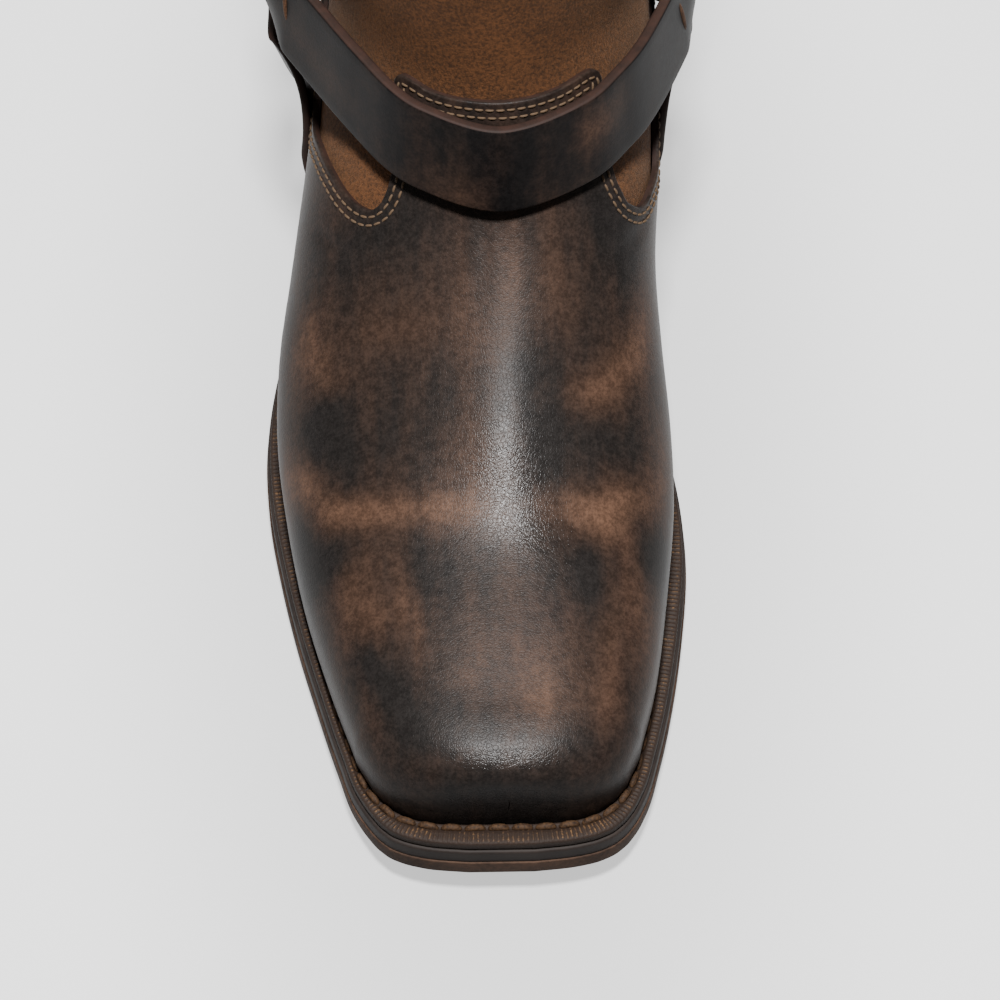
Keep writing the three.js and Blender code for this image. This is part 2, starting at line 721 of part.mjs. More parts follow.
// Stations of an upright strap along a curve. Each end has the pull of its ring.
function along(points, count, pulls) {
  const curve = new THREE.CatmullRomCurve3(points, false, "centripetal");
  const length = curve.getLength();
  const station = (t) => {
    const origin = curve.getPointAt(t);
    const tangent = curve.getTangentAt(t);
    const cross = crosswise(upright, tangent);
    const flat = cross.clone().cross(tangent);
    const out = origin.clone().sub(place(RING_SHIFT, RING_AT, origin.z));
    if (flat.dot(out) < 0) flat.negate();
    const pull = t < 0.5 ? pulls[0] : pulls[1];
    const open = THREE.MathUtils.smoothstep(Math.min(t, 1 - t) * length, 0, FOLD_RETURN);
    const facing = THREE.MathUtils.lerp(SIDE_LEAN_SHARE, 1, Math.max(-flat.y, 0));
    const tilt = STRAP_LEAN * open * facing;
    return {
      origin,
      normal: flat.clone().multiplyScalar(Math.cos(tilt)).addScaledVector(cross, Math.sin(tilt)),
      across: cross.clone().multiplyScalar(Math.cos(tilt)).addScaledVector(flat, -Math.sin(tilt)),
      width: THREE.MathUtils.lerp(RING_END_WIDTH, STRAP_WIDTH, open),
      warp: 1 - open,
      pull,
    };
  };
  const between = steps(0, 1, count).slice(1, -1);
  return { stations: between.map(station), at: (distance) => station(distance / length), length };
}

// A strap from the outside ring to the inside one.
function ringToRing(pulls, middle, count) {
  const ends = [besideBar(-1, pulls[0], STRAP_THICK), besideBar(1, pulls[1], STRAP_THICK)];
  const path = along([ends[0], ...middle, ends[1]], count, pulls);
  const tails = [TAIL_SHARE * FOLD_RETURN, FOLD_RETURN];
  const stations = [
    ...tails.map((distance) => returned(path.at(distance), STRAP_THICK)).reverse(),
    ...fold(-1, pulls[0], upright, STRAP_THICK),
    ...path.stations,
    ...fold(1, pulls[1], upright, STRAP_THICK).reverse(),
    ...tails.map((distance) => returned(path.at(path.length - distance), STRAP_THICK)),
  ];
  return strap(stations, STRAP_THICK);
}

function instepStrap() {
  const middle = INSTEP_PATH.map(({ across, at, up }) =>
    place(across * BALL_WIDTH, at * SOLE_LENGTH, RING_HEIGHT + up * BALL_WIDTH),
  );
  const pulls = [pullOf(INSTEP_TURN.lateral), pullOf(INSTEP_TURN.medial)];
  return ringToRing(pulls, middle, INSTEP_STATIONS);
}

const HALVINGS = 30;

// The section whose surface is at a height, at an angle round it.
function sectionAt(turn, height) {
  let low = 0;
  let high = LAST_SECTION;
  for (let i = 0; i < HALVINGS; i += 1) {
    const middle = (low + high) / 2;
    if (surface(middle, turn).z < height) low = middle;
    else high = middle;
  }
  return low;
}

function heelStrap() {
  const middle = HEEL_STRAP_TURNS.map((degrees) => {
    const turn = THREE.MathUtils.degToRad(degrees) - QUARTER;
    const height = RING_HEIGHT - HEEL_STRAP_DROP * Math.cos(turn + QUARTER);
    return offsetPoint(sectionAt(turn, height), turn, STRAP_THICK + 2 * GAP);
  });
  const pulls = [pullOf(HEEL_TURN), pullOf(HEEL_TURN)];
  return ringToRing(pulls, middle, HEEL_STATIONS);
}

function stirrup(side) {
  const out = new THREE.Vector3(side, 0, 0);
  const pull = pullOf(STIRRUP_TURN);
  const start = besideBar(side, pull, STIRRUP_THICK);
  const knots = [
    { point: start, normal: out },
    { point: start.clone().addScaledVector(pull, FOLD_RETURN), normal: out },
    ...STIRRUP_PATH.map(({ turn, section: u }) => {
      const below = THREE.MathUtils.degToRad(turn);
      const angle = side < 0 ? Math.PI + below : -below;
      const height = STIRRUP_THICK + STIRRUP_PLAY;
      return { point: offsetPoint(u, angle, height), normal: outward(u, angle) };
    }),
  ];
  const last = knots.length - 1;
  const curve = new THREE.CatmullRomCurve3(knots.map(({ point }) => point), false, "centripetal");
  const station = (t) => {
    const i = Math.min(Math.floor(t * last), last - 1);
    const facing = knots[i].normal.clone().lerp(knots[i + 1].normal, t * last - i);
    const tangent = curve.getTangent(t);
    const normal = crosswise(facing, tangent);
    const open = THREE.MathUtils.smoothstep(t * last, 0, 2);
    return {
      origin: curve.getPoint(t),
      normal,
      across: crosswise(crosswise(lengthwise, tangent), normal),
      width: THREE.MathUtils.lerp(RING_END_WIDTH, STIRRUP_WIDTH, open),
      warp: 1 - open,
      pull,
    };
  };
  const tail = returned(station(TAIL_SHARE / last), STIRRUP_THICK);
  const run = steps(0, 1, STIRRUP_STATIONS).slice(1).map(station);
  return strap([tail, ...fold(side, pull, lengthwise, STIRRUP_THICK), ...run], STIRRUP_THICK);
}

// The pieces that are cut from the upper's own forms.
const UPPER_LOW = SOLE_STACK + GAP;
const below = wideLayer(-BOOT_HEIGHT, UPPER_LOW);
const outer = form(0);
const suede = form(-OVERLAY_DEPTH);
const lining = form(-LINING_DEPTH, SUEDE_WALL);
const overlay = outer.subtract(form(-OVERLAY_THICK, SUEDE_WALL)).subtract(below);
const REGION_REACH = 2 * LINING_DEPTH;

const upper = suede.subtract(lining).subtract(below);
const vamp = overlay.intersect(vampRegion(REGION_REACH));
const counter = overlay.intersect(counterRegion(REGION_REACH));
const insoleLayer = wideLayer(UPPER_LOW, UPPER_LOW + INSOLE_THICK);
const insole = form(-LINING_DEPTH - GAP).intersect(insoleLayer);
const weltStart = WELT_STEP / 2 / SOLE_LENGTH;
const weltEnd = WELT_END / SOLE_LENGTH;
const weltLayer = layer(WELT_STEP, UPPER_LOW, UPPER_LOW + WELT_THICK, weltStart, weltEnd);
const welt = weltLayer.subtract(form(GAP));

const RING_FACETS = 22;
const BAR_FACETS = 7;
const group = new THREE.Group();

function add(name, made, finish) {
  const mesh = made.getMesh();
  const geometry = new THREE.BufferGeometry();
  const flat = new Float32Array(mesh.vertProperties);
  geometry.setAttribute("position", new THREE.BufferAttribute(flat, 3));
  geometry.setIndex([...mesh.triVerts]);
  geometry.computeVertexNormals();
  const [color, roughness, metalness] = FINISH[finish];
  const material = new THREE.MeshStandardMaterial({ color, roughness, metalness });
  const piece = new THREE.Mesh(geometry, material);
  piece.name = name;
  group.add(piece);
}

add("outsole", layer(0, 0, OUTSOLE_THICK), "sole");
add("midsole", layer(MIDSOLE_STEP, OUTSOLE_THICK + GAP, SOLE_STACK), "midsole");
add("welt", welt, "welt");
add("heel_stack", heelStack(), "stack");
add("heel_top_piece", heelTopPiece(), "rubber");
add("insole", insole, "insole");
add("upper", upper, "suede");
add("vamp", vamp, "vamp");
add("heel_counter", counter, "vamp");
add("instep_strap", instepStrap(), "strap");
add("heel_strap", heelStrap(), "strap");

for (const name of ["lateral", "medial"]) {
  const side = sideOf(name);
  add(`stirrup_${name}`, stirrup(side), "strap");
  const [color, roughness, metalness] = FINISH.ring;
  const ring = new THREE.Mesh(
    new THREE.TorusGeometry(RING_RADIUS, RING_BAR, BAR_FACETS, RING_FACETS),
    new THREE.MeshStandardMaterial({ color, roughness, metalness }),
  );
  ring.name = `ring_${name}`;
  ring.rotation.y = QUARTER;
  ring.position.copy(ringCentre(side));
  group.add(ring);
}

export default group;
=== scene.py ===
"""Looks of a square-toed harness boot for the right foot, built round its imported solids.

Sizes below are millimetres; meshes are made in metres. +Z is up, the toe points towards -Y
and the inner side of the foot is +X. Places along the boot count back from the sole's tip.
"""

import math

import bpy
import numpy as np
from mathutils import Matrix


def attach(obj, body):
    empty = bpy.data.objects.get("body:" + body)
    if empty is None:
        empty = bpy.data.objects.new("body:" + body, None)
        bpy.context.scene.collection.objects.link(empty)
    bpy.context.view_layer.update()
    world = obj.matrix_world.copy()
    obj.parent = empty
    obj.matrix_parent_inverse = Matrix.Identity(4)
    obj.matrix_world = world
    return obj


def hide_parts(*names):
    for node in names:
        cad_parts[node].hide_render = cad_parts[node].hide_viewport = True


bl_info = {
    "name": "Harness boot",
    "version": (1, 0, 0),
    "blender": (4, 5, 0),
    "location": "3D View > Sidebar > Boot",
    "description": "Dresses the solids of a square-toed harness boot",
    "category": "Object",
}

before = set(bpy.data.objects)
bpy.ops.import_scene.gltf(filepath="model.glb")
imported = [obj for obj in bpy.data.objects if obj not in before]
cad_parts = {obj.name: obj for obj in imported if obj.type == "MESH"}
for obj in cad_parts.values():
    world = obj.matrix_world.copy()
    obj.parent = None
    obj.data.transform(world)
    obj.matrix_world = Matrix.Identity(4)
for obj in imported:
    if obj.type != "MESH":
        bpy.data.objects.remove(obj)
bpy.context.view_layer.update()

MM = 0.001
QUARTER = math.pi / 2

# Driving sizes, the same as the solids'
SOLE_LENGTH = 307.5
SOLE_WIDTH = 110.0
BALL_WIDTH = 100.0
INSTEP_HEIGHT = 89.0
BOOT_HEIGHT = 262.0
SHAFT_WIDTH = 96.0
TOE_SPRING = 8.0
TOE_ROUND = 17.5
OUTSOLE_THICK = 5.0
MIDSOLE_THICK = 4.4
WELT_STEP = 1.2
MIDSOLE_STEP = 0.4
HEEL_LIFT = 33.5
TOP_PIECE_THICK = 7.0
HEEL_TAPER = 3.0
LIFT_THICK = 5.2
BREAST_HOLLOW = 3.0
SUEDE_WALL = 2.0
OVERLAY_THICK = 1.8
GAP = 0.3
STRAP_WIDTH = 27.0
STRAP_THICK = 3.0
STRAP_CORNER = 0.9
CUT_SEEN = 0.5
STRAP_LEAN = math.radians(10.5)
SIDE_LEAN_SHARE = 0.62
STIRRUP_WIDTH = 18.0
STIRRUP_THICK = 2.4
STIRRUP_PLAY = 0.5
RING_END_WIDTH = 14.0
RING_RADIUS = 17.0
RING_BAR = 2.2
RING_AT = 0.737 * SOLE_LENGTH
RING_SPREAD = 1.006 * BALL_WIDTH
RING_SHIFT = -0.019 * BALL_WIDTH
FOLD_RETURN = 12.0
HEEL_STRAP_DROP = 12.0
HEEL_CENTRE = 0.8764 * SOLE_LENGTH
HEEL_BREAST = 0.748 * SOLE_LENGTH
WELT_END = 0.735 * SOLE_LENGTH
TOE_FRONT = 0.026 * SOLE_LENGTH
SOLE_STACK = OUTSOLE_THICK + MIDSOLE_THICK + GAP
OVERLAY_DEPTH = OVERLAY_THICK + GAP
LINING_DEPTH = OVERLAY_DEPTH + SUEDE_WALL
TUCK = LINING_DEPTH + 3 * GAP
RING_HEIGHT = SOLE_STACK + 1.06 * INSTEP_HEIGHT
TOE_POWER = 4.6
TOE_TOP_POWER = 18.0
TOE_RISE = 4.0
COUNTER_SEAM = 0.045
STIRRUP_TURN = 250.0
INSTEP_TURN = {-1: 175.0, 1: 178.0}
HEEL_TURN = -8.0
HEEL_STRAP_TURNS = (-50, -36, -18, 0, 18, 36, 50)


def table(names, rows):
    """A short table as one array for each named column."""
    return dict(zip(names.split(), np.array(rows, float).T))


UNDERSIDE = table("at spring lift", [
    (0, 1, 0), (0.044, 0.7, 0), (0.1025, 0.36, 0), (0.1675, 0.12, 0), (0.239, 0, 0), (0.379, 0, 0),
    (0.444, 0, 0.042), (0.525, 0, 0.194), (0.6065, 0, 0.433), (0.6715, 0, 0.642), (0.7366, 0, 0.806),
    (0.8504, 0, 0.925), (1, 0, 1),
])
OUTLINE = table("at lateral medial", [
    (0, 0.075, 0.075), (0.0026, 0.145, 0.145), (0.0065, 0.195, 0.2), (0.013, 0.241, 0.246),
    (0.023, 0.276, 0.282), (0.036, 0.303, 0.309), (0.057, 0.335, 0.337), (0.1025, 0.376, 0.373),
    (0.1675, 0.427, 0.412), (0.2325, 0.475, 0.44), (0.2975, 0.514, 0.457), (0.3625, 0.543, 0.449),
    (0.4275, 0.55, 0.418), (0.509, 0.514, 0.355), (0.59, 0.436, 0.3), (0.6715, 0.382, 0.28),
    (0.753, 0.352, 0.285), (0.834, 0.336, 0.3), (0.899, 0.318, 0.295), (0.948, 0.262, 0.248),
    (0.98, 0.175, 0.168), (0.995, 0.088, 0.086), (1, 0.04, 0.04),
])
SECTION_NAMES = "lowAt lowUp ridgeAt ridgeUp lateral medial lean belly topPower lowPower"
FOOT = table(SECTION_NAMES, [
    (0.083, 0, 0.083, 0.399, 0.363, 0.353, 0.015, 0.42, 2.9, 3.2),
    (0.151, 0, 0.151, 0.444, 0.429, 0.403, 0.015, 0.38, 2.6, 3.2),
    (0.2325, 0, 0.2325, 0.506, 0.497, 0.439, 0.02, 0.36, 2.3, 3.2),
    (0.314, 0, 0.304, 0.601, 0.542, 0.463, 0.03, 0.36, 2.05, 3.2),
    (0.395, 0, 0.3625, 0.691, 0.567, 0.461, 0.04, 0.38, 1.9, 3.2),
    (0.4765, 0, 0.418, 0.798, 0.56, 0.441, 0.055, 0.42, 1.85, 3),
    (0.564, 0, 0.4635, 0.904, 0.526, 0.429, 0.055, 0.45, 1.85, 2.8),
    (0.6715, 0, 0.4925, 1, 0.489, 0.442, 0.045, 0.5, 1.9, 2.6),
    (0.7855, 0, 0.5105, 1.079, 0.462, 0.446, 0.035, 0.52, 1.95, 2.5),
    (0.8895, 0, 0.5205, 1.146, 0.45, 0.45, 0.02, 0.53, 2, 2.4),
    (0.9675, 0.067, 0.5285, 1.213, 0.44, 0.448, 0.015, 0.54, 2, 2.4),
])
SHAFT = table(SECTION_NAMES, [
    (0.99, 0.087, 0.535, 0.049, 0.453, 0.443, 0.01, 0.54, 2, 2.3),
    (0.987, 0.192, 0.5415, 0.111, 0.458, 0.448, 0.005, 0.53, 2, 2.2),
    (0.9725, 0.306, 0.548, 0.201, 0.464, 0.458, 0, 0.52, 2, 2.1),
    (0.963, 0.443, 0.553, 0.326, 0.474, 0.474, 0, 0.5, 2, 2),
    (0.961, 0.616, 0.558, 0.5, 0.49, 0.49, 0, 0.5, 2, 2),
    (0.964, 0.808, 0.561, 0.736, 0.5, 0.5, 0, 0.5, 2, 2),
    (0.9675, 1, 0.5645, 1, 0.51, 0.51, 0, 0.5, 2, 2),
])
VAMP_EDGE = table("turn section", [
    (-90, 6.75), (-42, 7), (-16, 7.5), (-5, 8), (-1, 8.5), (4, 8.35), (7, 7.9), (8.5, 7.45),
    (10.5, 7.15), (16, 6.98), (22, 6.81), (28, 6.6), (34, 6.5), (41, 6.54), (45, 6.72), (48, 6.92),
    (49.8, 7.15), (51, 7.6), (52.5, 9.9), (56, 10.18), (69, 9.87), (80, 9.66), (90, 9.58),
    (102, 9.64), (112, 9.78), (123, 10.1), (126, 9.85), (127, 7.3), (128, 7), (129.2, 6.76),
    (131.2, 6.55), (134.2, 6.45), (138.4, 6.52), (145.2, 6.75), (154.4, 7.13), (164.4, 7.46),
    (176, 7.72), (180, 8), (182.5, 8.4), (185, 8), (196, 7.5), (222, 7), (270, 6.75),
])
COUNTER_EDGE = table("turn section", [
    (-90, 12), (-66, 11.87), (-48, 11.62), (-34, 11.3), (-22, 10.9), (-13, 10.4), (-6, 9.8),
    (-2, 9.1), (0, 8.75),
])
INSTEP_PATH = table("across at up", [
    (-0.566, 0.672, 0.01), (-0.448, 0.609, 0.02), (-0.353, 0.5587, 0.035), (-0.257, 0.515, 0.043),
    (-0.184, 0.4946, 0.046), (0.024, 0.4686, 0.048), (0.253, 0.5008, 0.046), (0.348, 0.5369, 0.035),
    (0.414, 0.5733, 0.015), (0.538, 0.6728, -0.005),
])
STIRRUP_PATH = table("turn section", [(4.7, 8), (16.5, 7.5), (29, 7.2), (39, 7.06)])


def cubic(xs, ys, slope, x):
    """A curve through a table's rows that has the given slope at each row."""
    i = np.clip(np.searchsorted(xs, x, side="right") - 1, 0, len(xs) - 2)
    span = np.diff(xs)[i]
    t = (x - xs[i]) / span
    return (
        ys[i] * (2 * t**3 - 3 * t**2 + 1)
        + ys[i + 1] * (3 * t**2 - 2 * t**3)
        + span * (slope[i] * (t**3 - 2 * t**2 + t) + slope[i + 1] * (t**3 - t**2))
    )


def smooth(xs, ys, x):
    """A smooth curve through a table's rows; a stretch between equal values stays flat."""
    x = np.asarray(x, float)
    span = np.diff(xs)
    rise = np.diff(ys) / span
    slope = np.empty(len(xs))
    slope[0], slope[-1] = rise[0], rise[-1]
    mixed = (rise[:-1] * span[1:] + rise[1:] * span[:-1]) / (span[:-1] + span[1:])
    slope[1:-1] = np.where((rise[:-1] == 0) | (rise[1:] == 0), 0, mixed)
    y = np.where(x < xs[0], ys[0] + slope[0] * (x - xs[0]), cubic(xs, ys, slope, x))
    return np.where(x > xs[-1], ys[-1] + slope[-1] * (x - xs[-1]), y)


def rounded(xs, ys, x):
    """A curve through a table's rows that never swings past them."""
    rise = np.diff(ys) / np.diff(xs)
    slope = np.zeros(len(xs))
    same = rise[:-1] * rise[1:] > 0
    slope[1:-1][same] = 2 / (1 / rise[:-1][same] + 1 / rise[1:][same])
    return cubic(xs, ys, slope, np.clip(np.asarray(x, float), xs[0], xs[-1]))


def mix(a, b, t):
    """The value at a share t of the way from one to the other."""
    return a + (b - a) * t


def unit(v):
    """Directions of length one."""
    return v / np.maximum(np.linalg.norm(v, axis=-1, keepdims=True), TINY)


def over_sole(points):
    """The height of the sole's underside below points of the boot."""
    return underside(points[..., 1] + HEEL_CENTRE)


def placement(right, up, back, at):
    """The matrix that puts a thing's own x, y and z along three directions, at a place."""
    return Matrix([[right[k], up[k], back[k], at[k]] for k in range(3)] + [[0, 0, 0, 1]])


def place(x, back, z):
    """Points from their place across, back from the sole's tip, and up."""
    x, back, z = np.broadcast_arrays(x, back, z)
    return np.stack([x, back - HEEL_CENTRE, z], -1).astype(float)


def underside(back):
    """The height of the sole's lower face."""
    at = np.asarray(back, float) / SOLE_LENGTH
    spring = TOE_SPRING * smooth(UNDERSIDE["at"], UNDERSIDE["spring"], at)
    return spring + HEEL_LIFT * smooth(UNDERSIDE["at"], UNDERSIDE["lift"], at)


def sole_top(back):
    """The height of the sole's upper face."""
    return underside(back) + SOLE_STACK


def real_sections():
    """The foot's and the shaft's sections as one list of real sizes."""
    ankle = SOLE_STACK + FOOT["ridgeUp"][-1] * INSTEP_HEIGHT
    seat = SOLE_STACK + HEEL_LIFT
    low = sole_top(FOOT["lowAt"] * SOLE_LENGTH) - TUCK + FOOT["lowUp"] * INSTEP_HEIGHT
    both = {name: np.r_[FOOT[name], SHAFT[name]] for name in SECTION_NAMES.split()}
    width = np.repeat([BALL_WIDTH, SHAFT_WIDTH], [len(FOOT["lowAt"]), len(SHAFT["lowAt"])])
    for name in ("lateral", "medial", "lean"):
        both[name] = both[name] * width
    for name in ("lowAt", "ridgeAt"):
        both[name] = both[name] * SOLE_LENGTH
    ridge = SOLE_STACK + FOOT["ridgeUp"] * INSTEP_HEIGHT
    both["lowUp"] = np.r_[low, mix(seat, BOOT_HEIGHT, SHAFT["lowUp"])]
    both["ridgeUp"] = np.r_[ridge, mix(ankle, BOOT_HEIGHT, SHAFT["ridgeUp"])]
    return both


SECTIONS = real_sections()
LAST_SECTION = len(SECTIONS["lowAt"]) - 1
SECTION_INDEX = np.arange(LAST_SECTION + 1.0)
# The step in which slopes of the surface are measured, and a length that stands for none.
NUDGE = 0.004
TINY = 1e-9


def section(u):
    """The section at a place u: whole numbers are the table's rows, -1 to 0 closes the toe."""
    u = np.asarray(u, float)
    body = {name: smooth(SECTION_INDEX, column, np.maximum(u, 0)) for name, column in SECTIONS.items()}
    angle = QUARTER * (1 + np.minimum(u, 0))
    back = TOE_FRONT + TOE_ROUND * (1 - np.cos(angle))
    shrink = np.sin(angle) ** (2 / TOE_POWER)
    sink = np.sin(angle) ** (2 / TOE_TOP_POWER)
    first = {name: column[0] for name, column in SECTIONS.items()}
    step = (back - first["lowAt"]) / (SECTIONS["lowAt"][1] - first["lowAt"])
    toe = {name: first[name] + step * (column[1] - first[name]) for name, column in SECTIONS.items()}
    middle = sole_top(TOE_FRONT) + TOE_RISE
    toe["lowAt"] = toe["ridgeAt"] = back
    for name in ("lowUp", "ridgeUp"):
        toe[name] = middle + (toe[name] - middle) * sink
    for name in ("lateral", "medial"):
        toe[name] = toe[name] * shrink
    for name in ("topPower", "lowPower", "belly"):
        toe[name] = np.full_like(back, first[name])
    return {name: np.where(u < 0, toe[name], body[name]) for name in SECTIONS}


def surface(u, turn):
    """A point of the upper's outermost surface, at a section and an angle round it."""
    u, turn = np.broadcast_arrays(np.asarray(u, float), np.asarray(turn, float))
    row = section(u)
    rise = np.maximum(np.hypot(row["ridgeAt"] - row["lowAt"], row["ridgeUp"] - row["lowUp"]), TINY)
    s, c = np.sin(turn), np.cos(turn)
    power = 2 / np.where(s > 0, row["topPower"], row["lowPower"])
    reach = rise * np.where(s > 0, 1 - row["belly"], row["belly"])
    half = np.where(c > 0, row["medial"], row["lateral"])
    along = (row["belly"] * rise + reach * np.sign(s) * np.abs(s) ** power) / rise
    return place(
        row["lean"] * np.maximum(s, 0) + half * np.sign(c) * np.abs(c) ** power,
        mix(row["lowAt"], row["ridgeAt"], along),
        mix(row["lowUp"], row["ridgeUp"], along),
    )


def outward(u, turn):
    """The direction that the outermost surface faces."""
    u = np.clip(u, -0.99, LAST_SECTION)
    low, high = np.maximum(u - NUDGE, -1 + NUDGE), np.minimum(u + NUDGE, LAST_SECTION)
    along_u = surface(high, turn) - surface(low, turn)
    along_turn = surface(u, turn + NUDGE) - surface(u, turn - NUDGE)
    return unit(-np.cross(along_turn, along_u))


def offset(u, turn, depth):
    """Points at a depth outside or inside the outermost surface."""
    u, turn = np.broadcast_arrays(np.asarray(u, float), np.asarray(turn, float))
    tip = (u <= -1)[..., None]
    normal = np.where(tip, np.array([0.0, -1.0, 0.0]), outward(u, turn))
    return surface(u, turn) + normal * np.broadcast_to(depth, u.shape)[..., None]


def vamp_edge(degrees):
    """The section at which the vamp ends, by the angle."""
    return rounded(VAMP_EDGE["turn"], VAMP_EDGE["section"], degrees)


def toe_rows(count):
    """Rows that close the toe, from its middle outwards, evenly spaced in width."""
    share = np.linspace(0, 1, count + 1)[:-1]
    return np.arcsin(share ** (TOE_POWER / 2)) / QUARTER - 1


def floor_turns(rows, place_u, clear):
    """The angles at which each row of a piece meets the top of the sole, inside and outside."""
    down = np.linspace(0, 90, 541)
    k = np.arange(len(rows))
    ends = []
    for start, way in ((0, -1), (180, 1)):
        degrees = np.broadcast_to(start + way * down, (len(rows), len(down)))
        p = surface(place_u(rows[:, None], degrees), np.radians(degrees))
        above = p[..., 2] - sole_top(p[..., 1] + HEEL_CENTRE) - clear
        i = np.maximum(np.argmax(above < 0, axis=1), 1)
        t = down[i - 1] + (down[i] - down[i - 1]) * above[k, i - 1] / (above[k, i - 1] - above[k, i])
        ends.append(start + way * np.where((above < 0).any(axis=1), t, 90))
    return ends


# Making meshes


def edited(*steps):
    """Runs mesh tools on the whole active mesh in edit mode, each with its settings."""
    bpy.ops.object.mode_set(mode="EDIT")
    for tool, settings in steps:
        bpy.ops.mesh.select_all(action="SELECT")
        tool(**settings)
    bpy.ops.object.mode_set(mode="OBJECT")


def lofted(name, points, outwards=None, **values):
    """A grid whose points are moved to their places; edges that meet are joined."""
    rows, columns = points.shape[:2]
    bpy.ops.object.select_all(action="DESELECT")
    bpy.ops.mesh.primitive_grid_add(x_subdivisions=columns - 1, y_subdivisions=rows - 1, size=1)
    piece = bpy.context.object
    piece.name = piece.data.name = name
    mesh = piece.data
    if len(mesh.vertices) != rows * columns:
        raise RuntimeError(f"{name}: the grid has {len(mesh.vertices)} points")
    at = co(piece) * MM
    column = np.rint((at[:, 0] + 0.5) * (columns - 1)).astype(int)
    row = np.rint((at[:, 1] + 0.5) * (rows - 1)).astype(int)
    moved(piece, points[row, column])
    for key, value in values.items():
        painted(piece, key, value[row, column])
    edited(
        (bpy.ops.mesh.remove_doubles, {"threshold": 0.02 * MM}),
        (bpy.ops.mesh.dissolve_degenerate, {"threshold": 0.01 * MM}),
        (bpy.ops.mesh.normals_make_consistent, {"inside": False}),
    )
    if outwards is not None and facing(piece, outwards) < 0:
        edited((bpy.ops.mesh.flip_normals, {}))
    bpy.ops.object.shade_smooth()
    return piece


def facing(piece, heart):
    """Positive where a piece's faces look away from a place inside the boot."""
    faces = piece.data.polygons
    normals, centres = np.empty(len(faces) * 3), np.empty(len(faces) * 3)
    faces.foreach_get("normal", normals)
    faces.foreach_get("center", centres)
    away = centres.reshape(-1, 3) / MM - np.asarray(heart)
    return float((normals.reshape(-1, 3) * away).sum())


def wall(name, u, degrees, height, depth, thick, coats, heart):
    """A sheet that follows the last, with its wall towards the inside."""
    u, degrees, height = np.broadcast_arrays(u, degrees, height)
    turn = np.radians(degrees)
    piece = lofted(name, offset(u, turn, height), heart, u=u, turn=turn)
    for coat in coats:
        piece.data.materials.append(coat)
    outside = len(piece.data.vertices)
    solid = piece.modifiers.new("Wall", "SOLIDIFY")
    solid.thickness, solid.offset, solid.thickness_clamp = thick * MM, -1, 0.5
    solid.material_offset, solid.material_offset_rim = 2 if len(coats) > 2 else 0, 1
    bpy.ops.object.modifier_apply(modifier=solid.name)
    at = co(piece)
    if len(at) != 2 * outside:
        raise RuntimeError(f"{name}: the wall has {len(at)} points")
    inner_u, inner_turn = read(piece, "u")[outside:], read(piece, "turn")[outside:]
    at[outside:] = offset(inner_u, inner_turn, -depth - thick)
    moved(piece, at)
    bpy.ops.object.shade_smooth_by_angle(angle=math.radians(50))
    return piece


def edge_rounding(away, radius):
    """How far the face sinks towards a rounded cut edge, by the distance from that edge."""
    share = np.clip(1 - away / radius, 0, 1)
    return -radius * (1 - np.sqrt(1 - share**2))


def co(piece):
    """The places of a piece's points."""
    flat = np.empty(len(piece.data.vertices) * 3)
    piece.data.vertices.foreach_get("co", flat)
    return flat.reshape(-1, 3) / MM


def moved(piece, points):
    """Moves a piece's points to new places."""
    piece.data.vertices.foreach_set("co", (points * MM).ravel())
    piece.data.update()


def registered(piece, slot, *nodes):
    """Puts a piece on the boot's one body and hides the nodes that it stands for; its finish is not used.
    """
    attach(piece, "root")
    if nodes:
        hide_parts(*nodes)


def coated(piece, coat, crease, slot, node):
    """Gives a piece its one material and creases sharper than some degrees, puts it on the boot's body and
    hides its node.
    """
    piece.data.materials.append(coat)
    bpy.ops.object.shade_smooth_by_angle(angle=math.radians(crease))
    registered(piece, slot, node)


def arc(points):
    """The length along a line at each of its points."""
    return np.r_[0, np.cumsum(np.linalg.norm(np.diff(points, axis=0), axis=1))]


def picked(points, length, t):
    """The places at lengths t along a line."""
    return np.stack([np.interp(t, length, column) for column in points.T], -1)


def resample(points, step):
    """A line's points spaced anew by about one step."""
    length = arc(points)
    count = max(2, int(round(length[-1] / step)) + 1)
    return picked(points, length, np.linspace(0, length[-1], count))


def soft_step(x):
    """From nothing to one, gently at both ends."""
    x = np.clip(x, 0, 1)
    return x * x * (3 - 2 * x)


def averaged(padded, width, count):
    """The middle values of a padded row, each averaged with its neighbours."""
    bell = np.hanning(width + 2)[1:-1]
    return np.convolve(padded, bell / bell.sum(), mode="same")[width // 2 : width // 2 + count]


def blur(values, width):
    """A row of values with its small steps smoothed out."""
    return averaged(np.pad(values, width // 2, mode="edge"), width, len(values))


# Soft dents and ridges of the vamp: section, degrees round it, half length along the section
# and round it in millimetres, turn of the fold, height.
VAMP_FOLDS = table("section turn long wide slant height", [
    (3.3, 91, 26, 11, 0, 0.9), (-0.25, 90, 4, 26, 0, 0.45), (0.2, 90, 8, 24, 0, -0.25),
    (5.7, 99, 13, 1.8, 4, -0.14), (5.8, 93, 12, 1.6, -3, -0.1), (5.9, 106, 10, 1.8, 6, -0.1),
    (4.9, 60, 18, 2.2, 35, -0.22), (4.6, 130, 18, 2.2, -30, -0.22), (6.1, 35, 8, 2.2, 60, -0.3),
    (6.1, 150, 8, 2.2, -60, -0.3),
])


